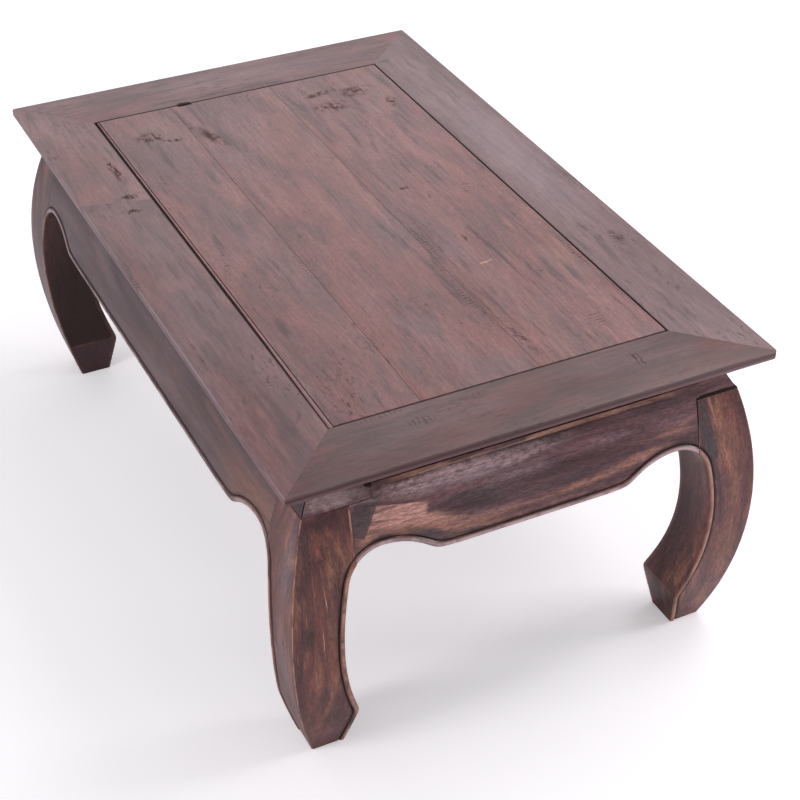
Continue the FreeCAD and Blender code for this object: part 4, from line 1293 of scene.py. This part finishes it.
class MakeTopFrame(bpy.types.Operator):
    """Makes the mitred rails round the panel, the left one spliced from two lengths"""

    bl_idname = "opium_table.top_frame"
    bl_label = "Top frame"

    def execute(self, context):
        sizes = context.scene.table_sizes
        colours = context.scene.table_colours
        rails = {}
        for side, (quarters, run, reach) in SIDES.items():
            rubbed_end = {"near": 1, "right": -1}.get(side, 0)
            rails[side] = swing(make_rail(f"rail_{side}", run, reach, sizes, rubbed_end), quarters)
        left = rails.pop("left")
        splice = Vector((-HALF_WIDTH + RAIL_WIDTH / 2, SPLICE_PLACE, 0))
        for part, sign in (("left_near", 1), ("left_far", -1)):
            rails[part] = copy_of(left, f"rail_{part}")
            edit(rails[part])
            slice_off(splice - SPLICE_WAY * sign * sizes.joint_gap / 2, SPLICE_WAY * sign)
            leave_edit()
        bpy.data.objects.remove(left)
        # The last number of each look is a tone: painted shade darkens the near rail and painted light
        # brightens the right rail.
        looks = {
            "near": (ALONG_X, 1, 1.0, 0.1, 0.585), "far": (ALONG_X, 2, 0.65, 0.3, 0.98),
            "right": (ALONG_Y, 3, 0.1, 0.1, 1.19), "left_near": (ALONG_Y, 4, 0.7, 0.25, 0.88),
            "left_far": (ALONG_Y, 5, 0.85, 0.35, 1.02),
        }
        # Per rail: the rim's painted shade, the painted arris highlight and the plum band under it.
        rims = {"near": (0.95, 0.2, 0.8), "left_near": (0.2, 1.0), "left_far": (0.2, 1.0)}
        for part, rail in rails.items():
            tidy_mesh(rail)
            grain, seed, rose, warm_share, tone = looks[part]
            look = top_look(colours, rose, warm_share, tone, 0.11)
            finish = lacquered_wood(
                f"lacquered rail {part}", grain, seed, colours, look, TOP_MARKS[part],
                panel_lines(colours, *rims.get(part, ())))
            dress(rail, f"top_rail_{part}", finish)
        return {"FINISHED"}


class MakePanel(bpy.types.Operator):
    """Makes the four tongued planks of the panel and the thin slip along its left"""

    bl_idname = "opium_table.panel"
    bl_label = "Panel"

    def execute(self, context):
        sizes = context.scene.table_sizes
        colours = context.scene.table_colours
        # The last number of each look is a tone that brightens the planks towards the right as painted
        # light.
        looks = ((0.9, 0.3, 1.01), (0.95, 0.4, 1.04), (0.95, 0.55, 1.06), (1.0, 0.75, 1.12))
        gaps = (*PLANK_JOINTS, sizes.panel_gap)
        for number, look in enumerate(looks, 1):
            left = PLANK_EDGES[number - 1]
            right = PLANK_EDGES[number] - gaps[number - 1]
            groove = -SLIP_RECESS if number == 1 else GROOVE_DEPTH
            node = f"panel_plank_{number}"
            plank = make_plank(node, left, right, groove, sizes, CHIP if number == 2 else None)
            tidy_mesh(plank)
            # deep lays painted shade on the planks' sides inside the gaps.
            finish = lacquered_wood(
                f"lacquered plank {number}", ALONG_Y, 10 + number, colours, top_look(colours, *look),
                TOP_MARKS[f"plank_{number}"], panel_lines(colours, deep=0.95))
            dress(plank, node, finish)
        low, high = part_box("panel_slip")
        high.x -= SLIP_SIDE_GAP
        low.x = high.x - sizes.slip_width
        high.z -= SLIP_TOP_GAP
        slip = add_block("panel_slip", low, high)
        edit(slip)
        score((0, SLIP_FLARE_START, 0), (0, 1, 0))
        pick(slip, "VERT", lambda spot: spot.y < 2 * SLIP_FLARE_START and near_to(spot.x, low.x))
        bpy.ops.transform.translate(value=(-SLIP_FLARE, 0, 0))
        ease(slip, lambda spot: near_to(spot.z, high.z), SLIP_EASE)
        leave_edit()
        tidy_mesh(slip)
        finish = lacquered_wood("lacquered slip", ALONG_Y, 15, colours, top_look(colours, 0.8, 0.5, 1.3))
        dress(slip, "panel_slip", finish)
        return {"FINISHED"}


class MakeWaist(bpy.types.Operator):
    """Makes the four hollow strips between the top and the aprons"""

    bl_idname = "opium_table.waist"
    bl_label = "Waist"

    def execute(self, context):
        sizes = context.scene.table_sizes
        colours = context.scene.table_colours
        for number, (side, (quarters, run, reach)) in enumerate(SIDES.items()):
            lifts = {"near": (1,), "right": (-1,)}.get(side, ())
            waist = swing(make_waist(f"waist_{side}", run, reach, sizes, side == "near", lifts), quarters)
            tidy_mesh(waist)
            node = f"waist_{side}"
            look = carcass_look(colours, colours.plum, 0.2, 0.5) if side == "near" else side_look(colours)
            finish = lacquered_wood(
                f"lacquered waist {side}", grain_along(quarters), 31 + number, colours, look,
                CARCASS_MARKS.get(node, ()))
            dress(waist, node, finish)
        return {"FINISHED"}


class MakeAprons(bpy.types.Operator):
    """Makes the four arched aprons with their carved beads"""

    bl_idname = "opium_table.aprons"
    bl_label = "Aprons"

    def execute(self, context):
        sizes = context.scene.table_sizes
        colours = context.scene.table_colours
        near_look = carcass_look(colours, colours.plum, 0.2, 0.5, colours.amber, 0.55, 0.38)
        for number, (side, (quarters, run, reach)) in enumerate(SIDES.items()):
            flush = (LEDGE_LEFT, LEDGE_RIGHT) if side == "near" else (0, 0)
            apron = swing(make_apron(f"apron_{side}", run, reach, sizes, flush), quarters)
            node = f"apron_{side}"
            look = near_look if side == "near" else side_look(colours)
            least, most = (0.45, 1.0) if side == "near" else (0.1, 0.5)
            finish = lacquered_wood(
                f"lacquered apron {side}", grain_along(quarters), 31 + number, colours, look,
                CARCASS_MARKS.get(node, ()), carved_wear(colours, least, most, colours.bead_pink))
            dress(apron, node, finish)
        return {"FINISHED"}


class MakeLegs(bpy.types.Operator):
    """Makes one curved leg with its beads, and copies it to the four corners"""

    bl_idname = "opium_table.legs"
    bl_label = "Legs"

    def execute(self, context):
        sizes = context.scene.table_sizes
        colours = context.scene.table_colours
        looks = {
            "near_left": carcass_look(colours, colours.stain_red, 0.06, 0.55, dusk=0.68, speckle=0.3),
            "near_right": carcass_look(colours, colours.stain_rose, 0.06, 0.75, dusk=0.62, speckle=0.36),
            "far_right": carcass_look(colours, colours.stain_rose, 0.06, 0.55),
            "far_left": carcass_look(colours, colours.stain_rose, 0.0, 0.3),
        }
        rubs = {"near_left": (0.1, 0.95), "near_right": (0.4, 1.0), "far_left": (0.1, 0.6)}
        pattern = make_leg("leg_pattern", sizes)
        for number, (corner, (quarters, across, along)) in enumerate(CORNERS.items()):
            leg = copy_of(pattern, f"leg_{corner}")
            shift = 0
            if corner == "near_right":
                edit(leg)
                slice_off((0, 0, LEG_TOP - sizes.sunk_head), (0, 0, 1))
                leave_edit()
                shift = sizes.leg_shift
            swing(leg, quarters, (across * HALF_WIDTH + shift, along * HALF_LENGTH, 0))
            node = f"leg_{corner}"
            finish = lacquered_wood(
                f"lacquered leg {corner}", ALONG_Z, 41 + number, colours, looks[corner],
                CARCASS_MARKS.get(node, ()), carved_wear(colours, *rubs.get(corner, (0.4, 1.0))))
            dress(leg, node, finish)
        bpy.data.objects.remove(pattern)
        return {"FINISHED"}


def raw_wood(name, grain, seed, colours):
    """Sawn, unlacquered wood of the parts under the top."""
    wood = Finish(name)
    base = wood.grained(grain, seed)
    streak = wood.noise(base, (3, 60, 60), detail=4, rough=0.6)
    fine = wood.noise(base, (20, 480, 480), detail=3)
    saw = wood.noise(base, (420, 12, 12), detail=2)
    colour = wood.mix(wood.between(streak, 0.35, 0.65), scaled(colours.raw_wood, 0.55), colours.raw_wood)
    colour = wood.toned(colour, wood.between(fine, 0.3, 0.7, 0.75, 1.1))
    height = wood.plus(fine, wood.times(saw, 0.6))
    return wood.close(colour, wood.between(streak, 0.3, 0.7, 0.75, 0.6), height, 0.4, 0.3 * MM)


def screw_metal(colours):
    """Dull zinc steel with stains."""
    steel = Finish("screw steel")
    cloud = steel.noise(steel.place, (260, 260, 260), detail=4)
    turned = steel.noise(steel.place, (90, 90, 1600), detail=2)
    stained = scaled(colours.screw_steel, 0.5)
    colour = steel.mix(steel.between(cloud, 0.35, 0.7), colours.screw_steel, stained)
    steel.shader.inputs["Metallic"].default_value = 1
    return steel.close(colour, steel.between(cloud, 0.3, 0.7, 0.35, 0.55), turned, 0.2, 0.1 * MM)


class FinishInnerParts(bpy.types.Operator):
    """Finishes the battens, cleats, blocks, dowels, biscuits and screws under the top"""

    bl_idname = "opium_table.inner_parts"
    bl_label = "Inner parts"

    def execute(self, context):
        colours = context.scene.table_colours
        across = raw_wood("raw wood across", ALONG_X, 51, colours)
        lengthwise = raw_wood("raw wood lengthwise", ALONG_Y, 52, colours)
        upright = raw_wood("raw wood upright", ALONG_Z, 53, colours)
        steel = screw_metal(colours)
        finishes = {
            "panel_batten": across, "cleat_near": across, "cleat_far": across, "cleat": lengthwise,
            "mitre": across, "splice": lengthwise, "corner": upright, "screws": steel,
        }
        for name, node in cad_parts.items():
            if node.hide_render:
                continue
            fitting = [finish for key, finish in finishes.items() if key in name]
            if not fitting:
                raise RuntimeError(f"no finish for {name}")
            for slot in node.material_slots:
                slot.material = fitting[0]
        return {"FINISHED"}


def lay_floor(settings):
    """A wide floor with a white glow that only the camera sees."""
    clear_selection()
    bpy.ops.mesh.primitive_plane_add(size=FLOOR_SIZE, location=(0, 0, 0))
    floor = named(bpy.context.object, "studio_floor")
    cover = Finish("studio floor")
    cover.shader.inputs["Base Color"].default_value = (*settings.floor_colour, 1)
    cover.shader.inputs["Roughness"].default_value = 0.9
    cover.shader.inputs["Specular IOR Level"].default_value = 0.1
    path = cover.node("LightPath")
    seen = cover.math("MAXIMUM", path.outputs["Is Camera Ray"], path.outputs["Is Transmission Ray"])
    glow = cover.node("Emission", {"Color": (1, 1, 1), "Strength": cover.times(seen, settings.floor_glow)})
    both = cover.node("AddShader", {0: cover.shader.outputs[0], 1: glow.outputs[0]})
    cover.feed(cover.tree.nodes["Material Output"].inputs["Surface"], both.outputs[0])
    floor.data.materials.append(cover.material)


def hang_lamp(name, place, aim, size, power):
    """A rectangular soft lamp at a place, turned towards a point."""
    data = bpy.data.lights.new(name, "AREA")
    data.shape = "RECTANGLE"
    data.size, data.size_y = size
    data.energy = power
    lamp = bpy.data.objects.new(name, data)
    bpy.context.scene.collection.objects.link(lamp)
    lamp.location = place
    lamp.rotation_euler = (Vector(aim) - Vector(place)).to_track_quat("-Z", "Y").to_euler()


def light_sky(scene, strength):
    """Even light from all round, which the camera itself sees at full strength."""
    scene.world = scene.world or bpy.data.worlds.new("studio")
    scene.world.use_nodes = True
    tree = scene.world.node_tree
    sky = tree.nodes["Background"]
    sky.inputs["Color"].default_value = SKY_COLOUR
    path = tree.nodes.new("ShaderNodeLightPath")
    seen = tree.nodes.new("ShaderNodeMapRange")
    tree.links.new(path.outputs["Is Camera Ray"], seen.inputs["Value"])
    seen.inputs["To Min"].default_value = strength
    seen.inputs["To Max"].default_value = 1.0
    tree.links.new(seen.outputs["Result"], sky.inputs["Strength"])


def set_camera(scene, lens):
    """The camera, where the photograph was taken from."""
    data = bpy.data.cameras.new("photo_camera")
    data.lens = lens
    data.sensor_width = SENSOR_WIDTH
    camera = bpy.data.objects.new("photo_camera", data)
    scene.collection.objects.link(camera)
    turn = Matrix(CAMERA_AXES).transposed()
    camera.matrix_world = Matrix.Translation(CAMERA_PLACE) @ turn.to_4x4()
    scene.camera = camera


class SetStage(bpy.types.Operator):
    """Lays the floor, hangs the lamps and sets the camera"""

    bl_idname = "opium_table.stage"
    bl_label = "Stage"

    def execute(self, context):
        scene = context.scene
        settings = scene.stage_settings
        lay_floor(settings)
        for name, (place, aim, size) in LAMPS.items():
            hang_lamp(f"{name}_lamp", place, aim, size, getattr(settings, f"{name}_power"))
        light_sky(scene, settings.sky_strength)
        set_camera(scene, settings.lens)
        scene.view_settings.view_transform = "Standard"
        return {"FINISHED"}


class TableMakers(bpy.types.Panel):
    """Lists the makers of the table's pieces with their sizes and colours"""

    bl_idname = "OPIUM_TABLE_PT_makers"
    bl_label = "Opium table"
    bl_space_type = "VIEW_3D"
    bl_region_type = "UI"
    bl_category = "Opium table"

    def draw(self, context):
        layout = self.layout
        for maker in MAKERS:
            layout.operator(maker.bl_idname)
        for group in (context.scene.table_sizes, context.scene.table_colours, context.scene.stage_settings):
            box = layout.box()
            for key in group.__annotations__:
                box.prop(group, key)


MAKERS = (MakeTopFrame, MakePanel, MakeWaist, MakeAprons, MakeLegs, FinishInnerParts, SetStage)
CLASSES = (TableSizes, TableColours, StageSettings, *MAKERS, TableMakers)


def register():
    """Adds the classes and their settings to Blender."""
    for item in CLASSES:
        bpy.utils.register_class(item)
    bpy.types.Scene.table_sizes = PointerProperty(type=TableSizes)
    bpy.types.Scene.table_colours = PointerProperty(type=TableColours)
    bpy.types.Scene.stage_settings = PointerProperty(type=StageSettings)


def unregister():
    """Takes the settings and classes out again."""
    del bpy.types.Scene.stage_settings
    del bpy.types.Scene.table_colours
    del bpy.types.Scene.table_sizes
    for item in reversed(CLASSES):
        bpy.utils.unregister_class(item)


def main():
    """Builds the table and its stage."""
    register()
    bpy.ops.opium_table.top_frame()
    bpy.ops.opium_table.panel()
    bpy.ops.opium_table.waist()
    bpy.ops.opium_table.aprons()
    bpy.ops.opium_table.legs()
    bpy.ops.opium_table.inner_parts()
    bpy.ops.opium_table.stage()
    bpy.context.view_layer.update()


if __name__ == "__main__":
    main()
